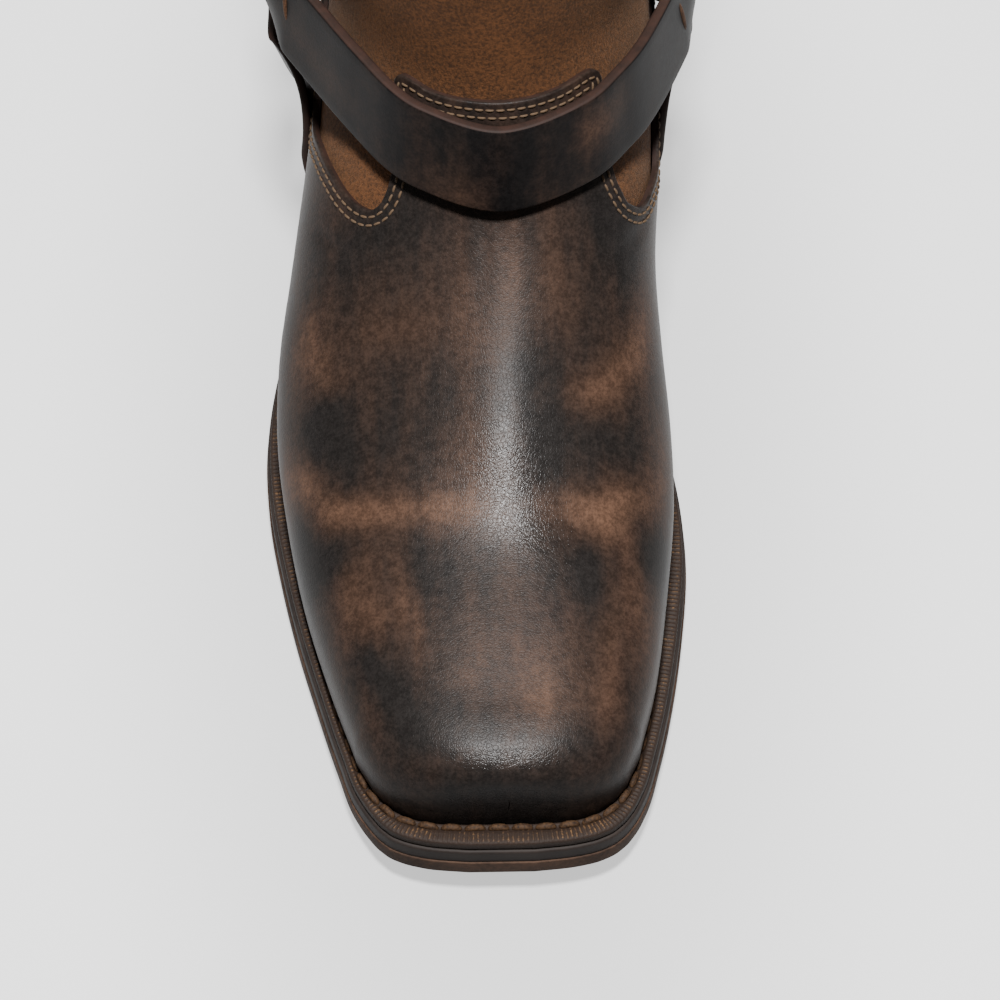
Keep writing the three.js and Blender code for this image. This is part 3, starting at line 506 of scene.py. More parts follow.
def fold_heights(folds, points):
    """How far a surface rises or sinks at each point, from its table of folds."""
    total = np.zeros(points.shape[:-1])
    for k in range(len(folds["section"])):
        spin = math.radians(folds["turn"][k])
        centre = surface(folds["section"][k], spin)
        normal = outward(folds["section"][k], spin)
        along = unit(np.cross(normal, np.array([1.0, 0.0, 0.0])))
        side = np.cross(along, normal)
        slant = math.radians(folds["slant"][k])
        long_way = along * math.cos(slant) + side * math.sin(slant)
        wide_way = side * math.cos(slant) - along * math.sin(slant)
        away = points - centre
        a = (away @ long_way) / folds["long"][k]
        b = (away @ wide_way) / folds["wide"][k]
        total += folds["height"][k] * np.exp(-(a**2) - b**2)
    return total


# Shader building


class Wire:
    """An output socket that Python's arithmetic signs work on."""

    def __init__(self, paint, socket):
        self.paint = paint
        self.socket = socket

    def maths(self, operation, a, b=0.0):
        return self.paint.node("Math", {"operation": operation}, {0: a, 1: b})

    def __add__(self, other):
        return self.maths("ADD", self, other)

    def __radd__(self, other):
        return self.maths("ADD", other, self)

    def __sub__(self, other):
        return self.maths("SUBTRACT", self, other)

    def __rsub__(self, other):
        return self.maths("SUBTRACT", other, self)

    def __mul__(self, other):
        return self.maths("MULTIPLY", self, other)

    def __rmul__(self, other):
        return self.maths("MULTIPLY", other, self)

    def __pow__(self, other):
        return self.maths("POWER", self, other)


class Paint:
    """One material's nodes."""

    def __init__(self, name, **constants):
        self.material = bpy.data.materials.new(name)
        self.material.use_nodes = True
        self.tree = self.material.node_tree
        self.shader = self.tree.nodes["Principled BSDF"]
        for key, value in constants.items():
            self.shader.inputs[key.replace("_", " ")].default_value = value
        self.place = self.node("TexCoord", {}, {}, "Object")

    def node(self, kind, settings, sockets, output=0):
        made = self.tree.nodes.new("ShaderNode" + kind)
        for key, value in settings.items():
            setattr(made, key, value)
        for key, value in sockets.items():
            if isinstance(value, Wire):
                self.tree.links.new(value.socket, made.inputs[key])
            else:
                made.inputs[key].default_value = value
        return Wire(self, made.outputs[output])

    def noise(self, scale, detail, rough, at=None):
        sockets = {"Vector": at or self.place, "Scale": scale, "Detail": detail, "Roughness": rough}
        return self.node("TexNoise", {}, sockets)

    def cells(self, scale):
        """The distance to the nearest edge of a net of uneven cells."""
        sockets = {"Vector": self.place, "Scale": scale}
        return self.node("TexVoronoi", {"feature": "DISTANCE_TO_EDGE"}, sockets)

    def grey(self, value):
        """A colour without hue."""
        return self.node("CombineColor", {}, {0: value, 1: value, 2: value})

    def stretched(self, x, y, z):
        """Object coordinates with a scale along each axis."""
        return self.node("Mapping", {}, {"Vector": self.place, "Scale": (x, y, z)})

    def step(self, value, low, high, to_low=0.0, to_high=1.0):
        """A soft change from one value to another as the input goes from low to high."""
        sockets = {"Value": value, "From Min": low, "From Max": high, "To Min": to_low, "To Max": to_high}
        return self.node("MapRange", {"interpolation_type": "SMOOTHSTEP"}, sockets)

    def blend(self, share, a, b, kind="MIX"):
        return self.node("Mix", {"data_type": "RGBA", "blend_type": kind}, {0: share, 6: a, 7: b}, 2)

    def own(self, name):
        """An attribute of the piece's own, painted on its points."""
        return self.node("Attribute", {"attribute_name": name}, {}, "Fac")

    def part(self, axis):
        """One of the three Object coordinates."""
        return self.node("SeparateXYZ", {}, {0: self.place}, axis)

    def feed(self, **links):
        """Links values to the shader's own sockets."""
        for key, value in links.items():
            self.tree.links.new(value.socket, self.shader.inputs[key.replace("_", " ")])

    def bump(self, *layers):
        """Layers of relief, each a height and its distance in millimetres, one on the other."""
        normal = None
        for height, distance in layers:
            sockets = {"Height": height, "Distance": distance * MM, "Strength": 1.0}
            if normal is not None:
                sockets["Normal"] = normal
            normal = self.node("Bump", {}, sockets)
        self.feed(Normal=normal)


def rgb(r, g, b):
    return (r, g, b, 1.0)


def painted(piece, name, values):
    """Stores one value for each point of a piece."""
    layer = piece.data.attributes.new(name, "FLOAT", "POINT")
    layer.data.foreach_set("value", np.ascontiguousarray(values, np.float32).ravel())


def read(piece, name):
    """The values that a piece's points carry under a name."""
    values = np.empty(len(piece.data.vertices), np.float32)
    piece.data.attributes[name].data.foreach_get("value", values)
    return values.astype(float)


SPOT_NAMES = "across back wide long slant strength"
# Rubbed places of the vamp and one painted highlight tint, by their middle across and back from
# the sole's tip, the half widths across and along, the slant in degrees, and how strongly the
# dye is rubbed off.
VAMP_RUBS_AND_HIGHLIGHT_TINT = table(SPOT_NAMES, [
    (-49, 96, 4, 11, 27, 0.95), (-38, 83, 9, 4.2, -22, 0.9), (-22, 79.5, 12, 4, -5, 0.75),
    (-8, 77, 9, 4.5, 0, 0.6), (20, 79, 11, 4.5, 5, 0.8), (27, 74.5, 7, 4.5, 0, 0.7),
    (33, 84, 8, 4.5, 30, 0.65), (42, 92, 3.5, 11, -10, 0.5), (24, 108, 7, 5, 30, 0.65),
    (33, 117, 4, 10, -35, 0.65), (38, 127, 3.5, 10, -15, 0.6), (41, 140, 3, 8, 0, 0.35),
    (17, 130, 5, 12, 10, 0.42), (5, 130, 4, 14, 0, 0.5), (-8, 132, 4, 12, 0, 0.32),
    (-3, 118, 7, 10, 0, 0.36), (-49, 132, 4, 9, -10, 0.6), (-44, 123, 4, 6, 0, 0.5),
    (-24, 124, 14, 5, -12, 0.34), (-40, 117, 5, 4, 0, 0.36), (-54, 104, 2.5, 12, 0, 0.35),
    (-34, 67, 8, 8, 0, 0.36), (-30, 53, 7, 6, 15, 0.5), (-37, 58, 5, 9, 0, 0.36),
    (-20, 47, 1.8, 12, 3, 0.55), (-24, 58, 2, 10, 3, 0.42), (9, 33, 6, 12, 0, 0.55),
    (13, 27, 6, 6, 0, 0.3), (18, 40, 3, 14, 0, 0.32), (28, 42, 4.5, 16, -8, 0.5),
    (26, 29, 5, 8, 0, 0.4), (34, 60, 3.5, 14, 0, 0.36), (-4, 35, 6, 9, 0, 0.36),
    (-10, 33, 4, 4, 0, 0.32), (3, 58, 4, 10, 0, 0.28), (0, 46, 6, 8, 0, 0.24),
    # The row at -4 across and 88 back is a painted highlight tint: copper where the ridge's highlight
    # falls.
    (38, 52, 4, 18, 0, 0.34), (-4, 88, 10, 13, 0, 0.34), (44, 105, 3, 14, 0, 0.3),
])
# Places where the rubbing is taken down, so that the dark dye shows there; among them the toe's front face
# and the vamp next to the instep strap.
VAMP_DARKS = table(SPOT_NAMES, [
    (-49, 80, 4, 9, 10, 0.5), (-43, 72, 6, 5, 0, 0.4), (-45, 109, 5, 8, 0, 0.5),
    (-34, 98, 10, 8, 0, 0.22), (-27, 32, 4, 12, 30, 0.5), (-33, 43, 3, 6, 20, 0.3),
    (12, 95, 6, 12, 5, 0.5), (10, 112, 6, 6, 0, 0.3), (28, 97, 9, 6, 25, 0.36),
    (22, 61, 5, 8, -10, 0.45), (40, 73, 5, 7, 0, 0.5), (-15, 62, 8, 8, 0, 0.3),
    (-30, 148, 16, 8, 0, 0.3), (33, 147, 7, 8, 0, 0.4), (25, 152, 6, 6, 0, 0.3),
    (-14, 30, 4, 9, 12, 0.25), (-20, 20, 8, 6, 0, 0.3), (20, 18, 6, 5, 0, 0.2), (0, 3, 36, 7, 0, 0.45),
])
# Places that handling has polished.
VAMP_POLISH = table(SPOT_NAMES, [
    (3, 86, 12, 15, 0, 1.15), (14, 71, 14, 7, -10, 0.9), (1, 11, 22, 5.5, 0, 1.1),
])


def patches(spots, across, back):
    """The strength of soft slanted patches over places on the boot."""
    total = np.zeros_like(across)
    for k in range(len(spots["across"])):
        slant = math.radians(spots["slant"][k])
        dx, dy = across - spots["across"][k], back - spots["back"][k]
        a = (dx * math.cos(slant) + dy * math.sin(slant)) / spots["wide"][k]
        b = (dy * math.cos(slant) - dx * math.sin(slant)) / spots["long"][k]
        total += spots["strength"][k] * np.exp(-(a**2) - b**2)
    return total


def leather(name, dark, brown, copper, rough=0.37, grain=1.0, shine=0.038, wear=0.13):
    """Dyed leather, rubbed through to brown and copper where its own rubbing value is high; the same value
    also carries a painted highlight tint on the vamp and a painted fold shade on the strap.
    """
    paint = Paint(name, IOR=1.46, Specular_IOR_Level=shine)
    cloud = paint.noise(34.0, 5.0, 0.6)
    fine = paint.noise(380.0, 4.0, 0.65)
    streaks = paint.noise(30.0, 5.0, 0.6, at=paint.stretched(5.0, 0.8, 0.8))
    flecks = paint.noise(1300.0, 2.0, 0.6)
    rub = paint.own("rub")
    uneven = (cloud - 0.5) * 0.3 + (streaks - 0.5) * 1.0 + (fine - 0.5) * 0.4
    worn_and_painted_light = rub + uneven + wear
    base = paint.blend(paint.step(worn_and_painted_light, -0.25, 0.7), dark, brown)
    base = paint.blend(paint.step(worn_and_painted_light, 0.42, 1.45), base, copper)
    speck = paint.step(flecks * 0.5 + fine * 0.5, 0.35, 0.65, 0.68, 1.25)
    base = paint.blend(1.0, base, paint.grey(speck), "MULTIPLY")
    pebble = paint.cells(900.0)
    small = paint.cells(1900.0)
    swell = paint.noise(300.0, 3.0, 0.6)
    relief = paint.step(pebble, 0.0, 0.14) * 0.55 + paint.step(small, 0.0, 0.3) * 0.45
    matt = (rough - 0.06) + fine * 0.12 + paint.step(worn_and_painted_light, 0.2, 1.0) * 0.05
    paint.feed(Base_Color=base, Roughness=matt - paint.own("polish") * 0.16)
    paint.bump((swell, 0.025 * grain), (relief, 0.026 * grain))
    return paint.material


def suede(name, light, deep):
    """Suede with a short uneven nap."""
    sheen = {"Sheen_Weight": 0.05, "Sheen_Roughness": 0.5, "Sheen_Tint": rgb(0.8, 0.5, 0.3)}
    paint = Paint(name, Specular_IOR_Level=0.1, **sheen)
    cloud = paint.noise(42.0, 4.0, 0.6)
    nap = paint.noise(1150.0, 5.0, 0.75)
    fibres = paint.noise(2400.0, 3.0, 0.7)
    tone = paint.step((cloud - 0.5) * 1.0 + (nap - 0.5) * 3.4 + 0.5, 0.0, 1.0)
    paint.feed(Base_Color=paint.blend(tone, deep, light), Roughness=0.88 + nap * 0.1)
    paint.bump((nap, 0.45), (fibres, 0.2))
    return paint.material


def plain(name, light, deep, rough, scale, relief, **constants):
    """A cut edge, lining or other quiet surface with a fine fibre."""
    paint = Paint(name, **constants)
    cloud = paint.noise(scale, 5.0, 0.6)
    fibre = paint.noise(scale * 14, 3.0, 0.6)
    tone = paint.step((cloud - 0.5) * 1.2 + (fibre - 0.5) * 0.8 + 0.5, 0.1, 0.9)
    paint.feed(Base_Color=paint.blend(tone, deep, light), Roughness=(rough - 0.05) + fibre * 0.1)
    paint.bump((cloud, relief), (fibre, relief * 0.5))
    return paint.material


def metal(name):
    """Plain steel with fine scratches."""
    paint = Paint(name, Metallic=1.0)
    wear = paint.noise(120.0, 4.0, 0.6)
    scratch = paint.noise(60.0, 5.0, 0.7, at=paint.stretched(1.0, 1.0, 14.0))
    base = paint.blend(paint.step(wear, 0.35, 0.7), rgb(0.42, 0.4, 0.37), rgb(0.62, 0.6, 0.57))
    paint.feed(Base_Color=base, Roughness=0.2 + paint.step(scratch, 0.3, 0.8) * 0.25)
    paint.bump((scratch, 0.02))
    return paint.material


def stacked(name, light, deep):
    """Layers of leather seen on edge, each lift a little different."""
    paint = Paint(name, Specular_IOR_Level=0.12)
    z = paint.part(2)
    fibre = paint.noise(90.0, 5.0, 0.65, at=paint.stretched(1.0, 1.0, 9.0))
    grit = paint.noise(700.0, 3.0, 0.6)
    ramp = z * (1 / (LIFT_THICK * MM))
    layer = paint.node("TexWhiteNoise", {"noise_dimensions": "1D"}, {"W": ramp.maths("FLOOR", ramp)})
    tone = paint.step(layer * 0.3 + fibre * 0.7 + (grit - 0.5) * 0.3, 0.2, 0.8)
    paint.feed(Base_Color=paint.blend(tone, deep, light), Roughness=0.45 + fibre * 0.15)
    paint.bump((fibre, 0.1), (grit, 0.05))
    return paint.material


# User settings


def colour(name, description, r, g, b):
    return bpy.props.FloatVectorProperty(
        name=name, description=description, subtype="COLOR", size=4, default=rgb(r, g, b), min=0, max=1,
    )


class BootLooks(bpy.types.PropertyGroup):
    """Colours and fine sizes of the boot."""

    dark: colour("Dark leather", "Dye of the vamp where it isn't rubbed", 0.0062, 0.0053, 0.0049)
    brown: colour("Brown leather", "Vamp where the dye is rubbed thin", 0.018, 0.0105, 0.0074)
    copper: colour("Copper leather", "Vamp where the dye is rubbed through", 0.044, 0.0235, 0.0148)
    strap: colour("Strap leather", "Dye of the straps", 0.0034, 0.003, 0.003)
    suede: colour("Suede", "Nap of the suede", 0.047, 0.0185, 0.0066)
    edge: colour("Cut edge", "Dyed cut edges of the leather", 0.0135, 0.0056, 0.0036)
    thread: colour("Thread", "Stitching thread of the vamp", 0.041, 0.0275, 0.0175)
    stitch: bpy.props.FloatProperty(
        name="Stitch", description="Length of a stitch of the vamp", unit="LENGTH",
        default=2.7 * MM, min=1.5 * MM, max=6 * MM,
    )
    glow: bpy.props.FloatProperty(
        name="Floor glow", description="Light that the floor gives off", default=1.5, min=0, max=20,
    )
    floor: colour("Floor", "Colour of the floor", 0.17, 0.17, 0.17)


def looks():
    """The user's settings."""
    return bpy.context.scene.boot_looks


def material(name, maker, *arguments, **settings):
    """A material by name, made the first time that it is asked for."""
    name = f"look_{name}"
    return bpy.data.materials.get(name) or maker(name, *arguments, **settings)


def cut_edge():
    shades = tuple(looks().edge), rgb(0.006, 0.003, 0.002)
    return material("cut_edge", plain, *shades, 0.7, 260.0, 0.08, Specular_IOR_Level=0.12)


def lining_leather():
    shades = rgb(0.14, 0.08, 0.04), rgb(0.1, 0.055, 0.028)
    return material("lining_leather", plain, *shades, 0.7, 120.0, 0.05)


def rubbed(name, dye, **settings):
    """A leather that is rubbed through to the vamp's brown and copper."""
    return material(name, leather, tuple(dye), tuple(looks().brown), tuple(looks().copper), **settings)


def vamp_leather():
    return rubbed("vamp_leather", looks().dark)


def strap_leather():
    return rubbed("strap_leather", looks().strap, rough=0.42, grain=0.5, shine=0.03, wear=-0.07)


# Places inside the boot that the outer faces of its pieces look away from.
HEART = (0.0, -120.0, 50.0)
VAMP_HEART = (0.0, -170.0, 30.0)
HEEL_HEART = (0.0, -20.0, 60.0)
# Sections from which the suede's rows lie closer together, and where the shaft begins.
INSTEP = 6.2
ANKLE = 11
COLLAR_ROUND = 0.8
EDGE_ROUND = 0.7
EDGE_SAMPLES = 6000


def floor_span(rows, clear):
    """The angles between which sections stand clear of the sole."""
    return floor_turns(rows, lambda u, degrees: u + 0 * degrees, clear)


class BOOT_OT_upper(bpy.types.Operator):
    """Adds the suede shell of the shaft and the foot"""

    bl_idname = "boot.upper"
    bl_label = "Upper"

    def execute(self, context):
        foot = np.r_[np.linspace(0, INSTEP, 24)[:-1], np.linspace(INSTEP, ANKLE, 70)[:-1]]
        shaft = np.r_[np.linspace(ANKLE, LAST_SECTION, 70)[:-1], LAST_SECTION - 0.004, LAST_SECTION]
        rows = np.r_[toe_rows(8), foot, shaft]
        low, high = floor_span(rows, GAP)
        degrees = low[:, None] + np.linspace(0, 1, 181) * (high - low)[:, None]
        top = surface(LAST_SECTION, 0)[2] - surface(rows, 0)[:, 2]
        height = -OVERLAY_DEPTH + edge_rounding(top, COLLAR_ROUND)[:, None]
        nap = material("suede_nap", suede, tuple(looks().suede), rgb(0.013, 0.0054, 0.0021))
        coats = [nap, nap, lining_leather()]
        piece = wall("suede_upper", rows[:, None], degrees, height, OVERLAY_DEPTH, SUEDE_WALL, coats, HEART)
        registered(piece, "suede", "upper")
        return {"FINISHED"}


def edge_curve(first, last, step):
    """The vamp's rear edge as angles and sections, evenly spaced."""
    degrees = np.linspace(first, last, EDGE_SAMPLES)
    length = arc(surface(vamp_edge(degrees), np.radians(degrees)))
    at = np.interp(np.arange(0, length[-1], step), length, degrees)
    return at, vamp_edge(at)


# Sections up to this one are crossed by plain rows; from there the rows fan out to the edge.
FAN_START = 4.5
VAMP_COLUMNS = 221
EDGE_DISTANCES = (0.7, 0.45, 0.25, 0.1, 0.0)


def spread(values, width):
    """A rising row of values with its small steps evened out and its ends kept."""
    half = width // 2
    before, after = 2 * values[0] - values[half:0:-1], 2 * values[-1] - values[-2 : -half - 2 : -1]
    return averaged(np.r_[before, values, after], width, len(values))


def vamp_grid():
    """Sections, angles and distances from the rear edge of the vamp's points."""
    low, high = floor_turns(np.array([1.0]), lambda u, degrees: vamp_edge(degrees), GAP)
    degrees = np.linspace(low[0], high[0], EDGE_SAMPLES)
    length = arc(surface(vamp_edge(degrees), np.radians(degrees)))
    even = 0.5 * length / length[-1] + 0.5 * np.linspace(0, 1, len(degrees))
    edge_at = np.interp(np.linspace(0, 1, VAMP_COLUMNS), even, degrees)
    edge_u = vamp_edge(edge_at)
    levels = np.r_[toe_rows(200), np.linspace(0, LAST_SECTION, 1000)]
    low_at, high_at = floor_span(levels, GAP)
    start = lambda u: np.interp(u, levels, low_at)
    reach = lambda u: np.interp(u, levels, high_at) - start(u)
    edge_share = (edge_at - start(edge_u)) / reach(edge_u)
    edge_share[0], edge_share[-1] = 0, 1
    fan_share = spread(edge_share, 31)
    toe = np.r_[toe_rows(22), np.linspace(0, FAN_START, 48)][:, None]
    gather = soft_step((toe + 1) / (FAN_START + 1))
    toe_share = mix(np.linspace(0, 1, VAMP_COLUMNS)[None], fan_share[None], gather)
    shares, sections_at = [toe_share], [np.broadcast_to(toe, toe_share.shape)]
    place_on = lambda share, u: surface(u, np.radians(start(u) + share * reach(u)))
    near = 0.98
    short = place_on(mix(fan_share, edge_share, near), mix(FAN_START, edge_u, near))
    gone = np.linalg.norm(place_on(edge_share, edge_u) - short, axis=1) / (1 - near)
    fan = [np.full(VAMP_COLUMNS, w) for w in np.linspace(0, 0.975, 52)[1:]]
    fan = np.array(fan + [1 - d / gone for d in EDGE_DISTANCES])
    shares.append(mix(fan_share[None], edge_share[None], fan))
    sections_at.append(mix(FAN_START, edge_u[None], fan))
    u, share = np.concatenate(sections_at), np.concatenate(shares)
    far = 99.0
    away = np.concatenate([np.full(toe_share.shape, far), (1 - fan) * gone])
    return u, start(u) + share * reach(u), away


class BOOT_OT_vamp(bpy.types.Operator):
    """Adds the rubbed leather of the toe, the sides and the tongue"""

    bl_idname = "boot.vamp"
    bl_label = "Vamp"

    def execute(self, context):
        u, degrees, away = vamp_grid()
        turn = np.radians(degrees)
        height = edge_rounding(away, EDGE_ROUND) + fold_heights(VAMP_FOLDS, surface(u, turn))
        coats = [vamp_leather(), cut_edge()]
        piece = wall("rubbed_vamp", u, degrees, height, 0, OVERLAY_THICK, coats, VAMP_HEART)
        across, back = co(piece)[:, 0], co(piece)[:, 1] + HEEL_CENTRE
        painted(piece, "rub", patches(VAMP_RUBS_AND_HIGHLIGHT_TINT, across, back) - patches(VAMP_DARKS, across, back))
        painted(piece, "polish", np.minimum(patches(VAMP_POLISH, across, back), 1.0))
        registered(piece, "rubbed_leather", "vamp")
        return {"FINISHED"}


def counter_limits(degrees):
    """The counter's lowest and highest section at each angle behind the seam."""
    wrapped = np.where(degrees < -90, degrees + 360, degrees)
    mirrored = np.where(degrees < -90, -180 - degrees, degrees)
    front = vamp_edge(wrapped) + COUNTER_SEAM
    top = rounded(COUNTER_EDGE["turn"], COUNTER_EDGE["section"], mirrored)
    steps = 399
    u = front[:, None] + np.linspace(0, 1, steps + 1) * (top - front)[:, None]
    p = surface(u, np.radians(degrees)[:, None])
    under = p[..., 2] - sole_top(p[..., 1] + HEEL_CENTRE) - GAP < 0
    last = np.where(under.any(axis=1), under.shape[1] - np.argmax(under[:, ::-1], axis=1), 0)
    return front + (top - front) * np.minimum(last / steps, 1), top


# Rubbed places of the counter, by their place along the boot and their height.
COUNTER_RUBS = table(SPOT_NAMES, [
    (30, 60, 22, 16, 0, 0.5), (-20, 50, 26, 9, 10, 0.4), (-50, 62, 14, 8, 0, 0.45),
])


class BOOT_OT_counter(bpy.types.Operator):
    """Adds the leather round the heel"""

    bl_idname = "boot.counter"
    bl_label = "Heel counter"

    def execute(self, context):
        degrees = np.linspace(-0.2, -179.8, 220)
        low, top = counter_limits(degrees)
        share = np.r_[0, 0.004, np.linspace(0.012, 0.985, 60), 0.99, 0.994, 0.997, 0.999, 1]
        u = low + share[:, None] * (top - low)
        at = surface(u, np.radians(degrees))
        away = np.linalg.norm(at - at[-1:], axis=-1)
        away = np.minimum(away, np.linalg.norm(at - at[:1], axis=-1) + 0.2)
        coats = [vamp_leather(), cut_edge()]
        height = edge_rounding(away, EDGE_ROUND)
        piece = wall("heel_counter_leather", u, degrees, height, 0, OVERLAY_THICK, coats, HEEL_HEART)
        at = co(piece)
        painted(piece, "rub", patches(COUNTER_RUBS, at[:, 1], at[:, 2]))
        registered(piece, "rubbed_leather", "heel_counter")
        return {"FINISHED"}


# Straps


def ring_centre(side):
    """The middle of the ring on one side, -1 outside and 1 inside."""
    return place(RING_SHIFT + side * RING_SPREAD / 2, RING_AT, RING_HEIGHT)


FOLD_HOLLOW = RING_BAR / math.sqrt(1 - (RING_END_WIDTH / 2 / RING_RADIUS) ** 2) + 2 * GAP


def pull_of(degrees):
    """The direction in which a strap leaves its ring, turned up from straight back."""
    turn = math.radians(degrees)
    return np.array([0.0, math.cos(turn), math.sin(turn)])


def beside_bar(side, pull, thick):
    """The place at which a strap's outer face passes a ring's bar."""
    return ring_centre(side) + pull * RING_RADIUS + np.array([side * (FOLD_HOLLOW + thick), 0, 0])


def crosswise(reference, tangent):
    """The direction nearest to a reference that stands square to a tangent."""
    return unit(reference - tangent * (reference * tangent).sum(-1, keepdims=True))


class Curve:
    """A centripetal spline through points, whose ends run straight on."""

    def __init__(self, points):
        self.p = np.asarray(points, float)
        self.t = np.linspace(0, 1, 2001)
        self.length_at = arc(self.point(self.t))
        self.length = self.length_at[-1]

    def point(self, t):
        p = self.p
        t = np.atleast_1d(np.asarray(t, float)) * (len(p) - 1)
        i = np.minimum(t.astype(int), len(p) - 2)
        w = (t - i)[:, None]
        p0 = np.where((i > 0)[:, None], p[np.maximum(i - 1, 0)], 2 * p[0] - p[1])
        p1, p2 = p[i], p[i + 1]
        p3 = np.where((i + 2 < len(p))[:, None], p[np.minimum(i + 2, len(p) - 1)], 2 * p[-1] - p[-2])
        spans = ((p0, p1), (p1, p2), (p2, p3))
        d = [np.maximum(np.linalg.norm(b - a, axis=1) ** 0.5, 1e-4)[:, None] for a, b in spans]
        m1 = ((p1 - p0) / d[0] - (p2 - p0) / (d[0] + d[1]) + (p2 - p1) / d[1]) * d[1]
        m2 = ((p2 - p1) / d[1] - (p3 - p1) / (d[1] + d[2]) + (p3 - p2) / d[2]) * d[1]
        c2 = -3 * p1 + 3 * p2 - 2 * m1 - m2
        c3 = 2 * p1 - 2 * p2 + m1 + m2
        return p1 + m1 * w + c2 * w**2 + c3 * w**3

    def tangent(self, t):
        e = 0.0001
        return unit(self.point(np.minimum(t + e, 1)) - self.point(np.maximum(t - e, 0)))

    def evenly(self, share):
        return np.interp(np.asarray(share) * self.length, self.length_at, self.t)


def strap_profile(width, thick):
    """Points round a strap's section, with rounded corners."""
    r = STRAP_CORNER
    side = width / 2 - r
    turn = np.radians(np.linspace(0, 90, 6))
    corner = np.stack([np.sin(turn), np.cos(turn)], -1) * r
    flat = np.stack([np.linspace(-1, 1, 11)[1:-1] * side, np.zeros(9)], -1)
    loop = np.concatenate([
        flat, corner + [side, -r], corner[::-1] * [1, -1] + [side, r - thick],
        -flat - [0, thick], -corner + [-side, r - thick], corner[::-1] * [-1, 1] + [-side, -r],
    ])
    return np.concatenate([loop, loop[:1]])


def strap_points(stations, thick):
    """A strap's loops; near a ring its fibres shift, so that the fold follows the round bar."""
    loops, cut = [], []
    for origin, across, normal, width, warp, pull in stations:
        profile = strap_profile(width, thick)
        loop = origin + profile[:, :1] * across + profile[:, 1:] * normal
        across_ring = np.clip(profile[:, 0], -RING_RADIUS, RING_RADIUS)
        sag = RING_RADIUS - np.sqrt(RING_RADIUS**2 - across_ring**2)
        loops.append(loop - pull * (warp * sag)[:, None])
        cut.append(np.abs(profile[:, 0]) > width / 2 - CUT_SEEN)
    ends = [np.broadcast_to(loop[:-1].mean(axis=0), loop.shape) for loop in (loops[0], loops[-1])]
    inset = [mix(end, loop, 0.93) for end, loop in zip(ends, (loops[0], loops[-1]))]
    whole = np.ones_like(cut[0])
    points = np.array([ends[0], inset[0], *loops, inset[1], ends[1]])
    return points, np.array([whole, whole, *cut, whole, whole], float)


def fold(side, pull, reference, thick):
    """The stations of a strap's end round a ring's bar."""
    out = np.array([side, 0.0, 0.0])
    bar = ring_centre(side) + pull * RING_RADIUS
    across = crosswise(reference, pull)
    stations = []
    for angle in np.linspace(math.pi, 0, 20):
        normal = out * math.cos(angle) - pull * math.sin(angle)
        stations.append((bar + normal * (FOLD_HOLLOW + thick), across, normal, RING_END_WIDTH, 1.0, pull))
    return stations


def returned(station, thick):
    """The station of the end that lies under a strap, after its fold."""
    origin, across, normal, _, warp, pull = station
    return (origin - normal * (2 * thick + GAP), across, -normal, RING_END_WIDTH, warp, pull)


UPRIGHT = np.array([0.0, 0.0, 1.0])
LENGTHWISE = np.array([0.0, 1.0, 0.0])


def along_strap(curve, share, pulls):
    """One station of a strap between two rings, at a share of its length."""
    t = curve.evenly(share)
    origin = curve.point(t)[0]
    tangent = curve.tangent(np.atleast_1d(t))[0]
    cross = crosswise(UPRIGHT, tangent)
    flat = np.cross(cross, tangent)
    out = origin - place(RING_SHIFT, RING_AT, origin[2])
    if flat @ out < 0:
        flat = -flat
    pull = pulls[0] if share < 0.5 else pulls[1]
    opened = soft_step(min(share, 1 - share) * curve.length / FOLD_RETURN)
    tilt = STRAP_LEAN * opened * mix(SIDE_LEAN_SHARE, 1, max(-flat[1], 0))
    normal = flat * math.cos(tilt) + cross * math.sin(tilt)
    across = cross * math.cos(tilt) - flat * math.sin(tilt)
    return (origin, across, normal, mix(RING_END_WIDTH, STRAP_WIDTH, opened), 1 - opened, pull)


def ring_to_ring(pulls, middle, count):
    """The loops of a strap that is folded round a ring at both ends."""
    ends = [beside_bar(-1, pulls[0], STRAP_THICK), beside_bar(1, pulls[1], STRAP_THICK)]
    curve = Curve([ends[0], *middle, ends[1]])
    tails = np.linspace(0.15, 1, 6) * FOLD_RETURN / curve.length
    return strap_points([
        *[returned(along_strap(curve, share, pulls), STRAP_THICK) for share in tails[::-1]],
        *fold(-1, pulls[0], UPRIGHT, STRAP_THICK),
        *[along_strap(curve, share, pulls) for share in np.linspace(0, 1, count)[1:-1]],
        *fold(1, pulls[1], UPRIGHT, STRAP_THICK)[::-1],
        *[returned(along_strap(curve, 1 - share, pulls), STRAP_THICK) for share in tails],
    ], STRAP_THICK)


def instep_course():
    """The way that the instep strap pulls its rings, and the places that it passes."""
    rows = zip(*INSTEP_PATH.values())
    middle = [place(x * BALL_WIDTH, at * SOLE_LENGTH, RING_HEIGHT + up * BALL_WIDTH) for x, at, up in rows]
    return [pull_of(INSTEP_TURN[-1]), pull_of(INSTEP_TURN[1])], middle


def heel_course():
    """The way that the heel strap pulls its rings, and the places that it passes."""
    middle = []
    u = np.linspace(0, LAST_SECTION, 4000)
    for degrees in HEEL_STRAP_TURNS:
        turn = math.radians(degrees) - QUARTER
        height = RING_HEIGHT - HEEL_STRAP_DROP * math.cos(turn + QUARTER)
        z = surface(u, turn)[:, 2]
        at = u[np.argmax(z >= height)] if (z >= height).any() else LAST_SECTION
        middle.append(offset(at, turn, STRAP_THICK + 2 * GAP))
    return [pull_of(HEEL_TURN), pull_of(HEEL_TURN)], middle


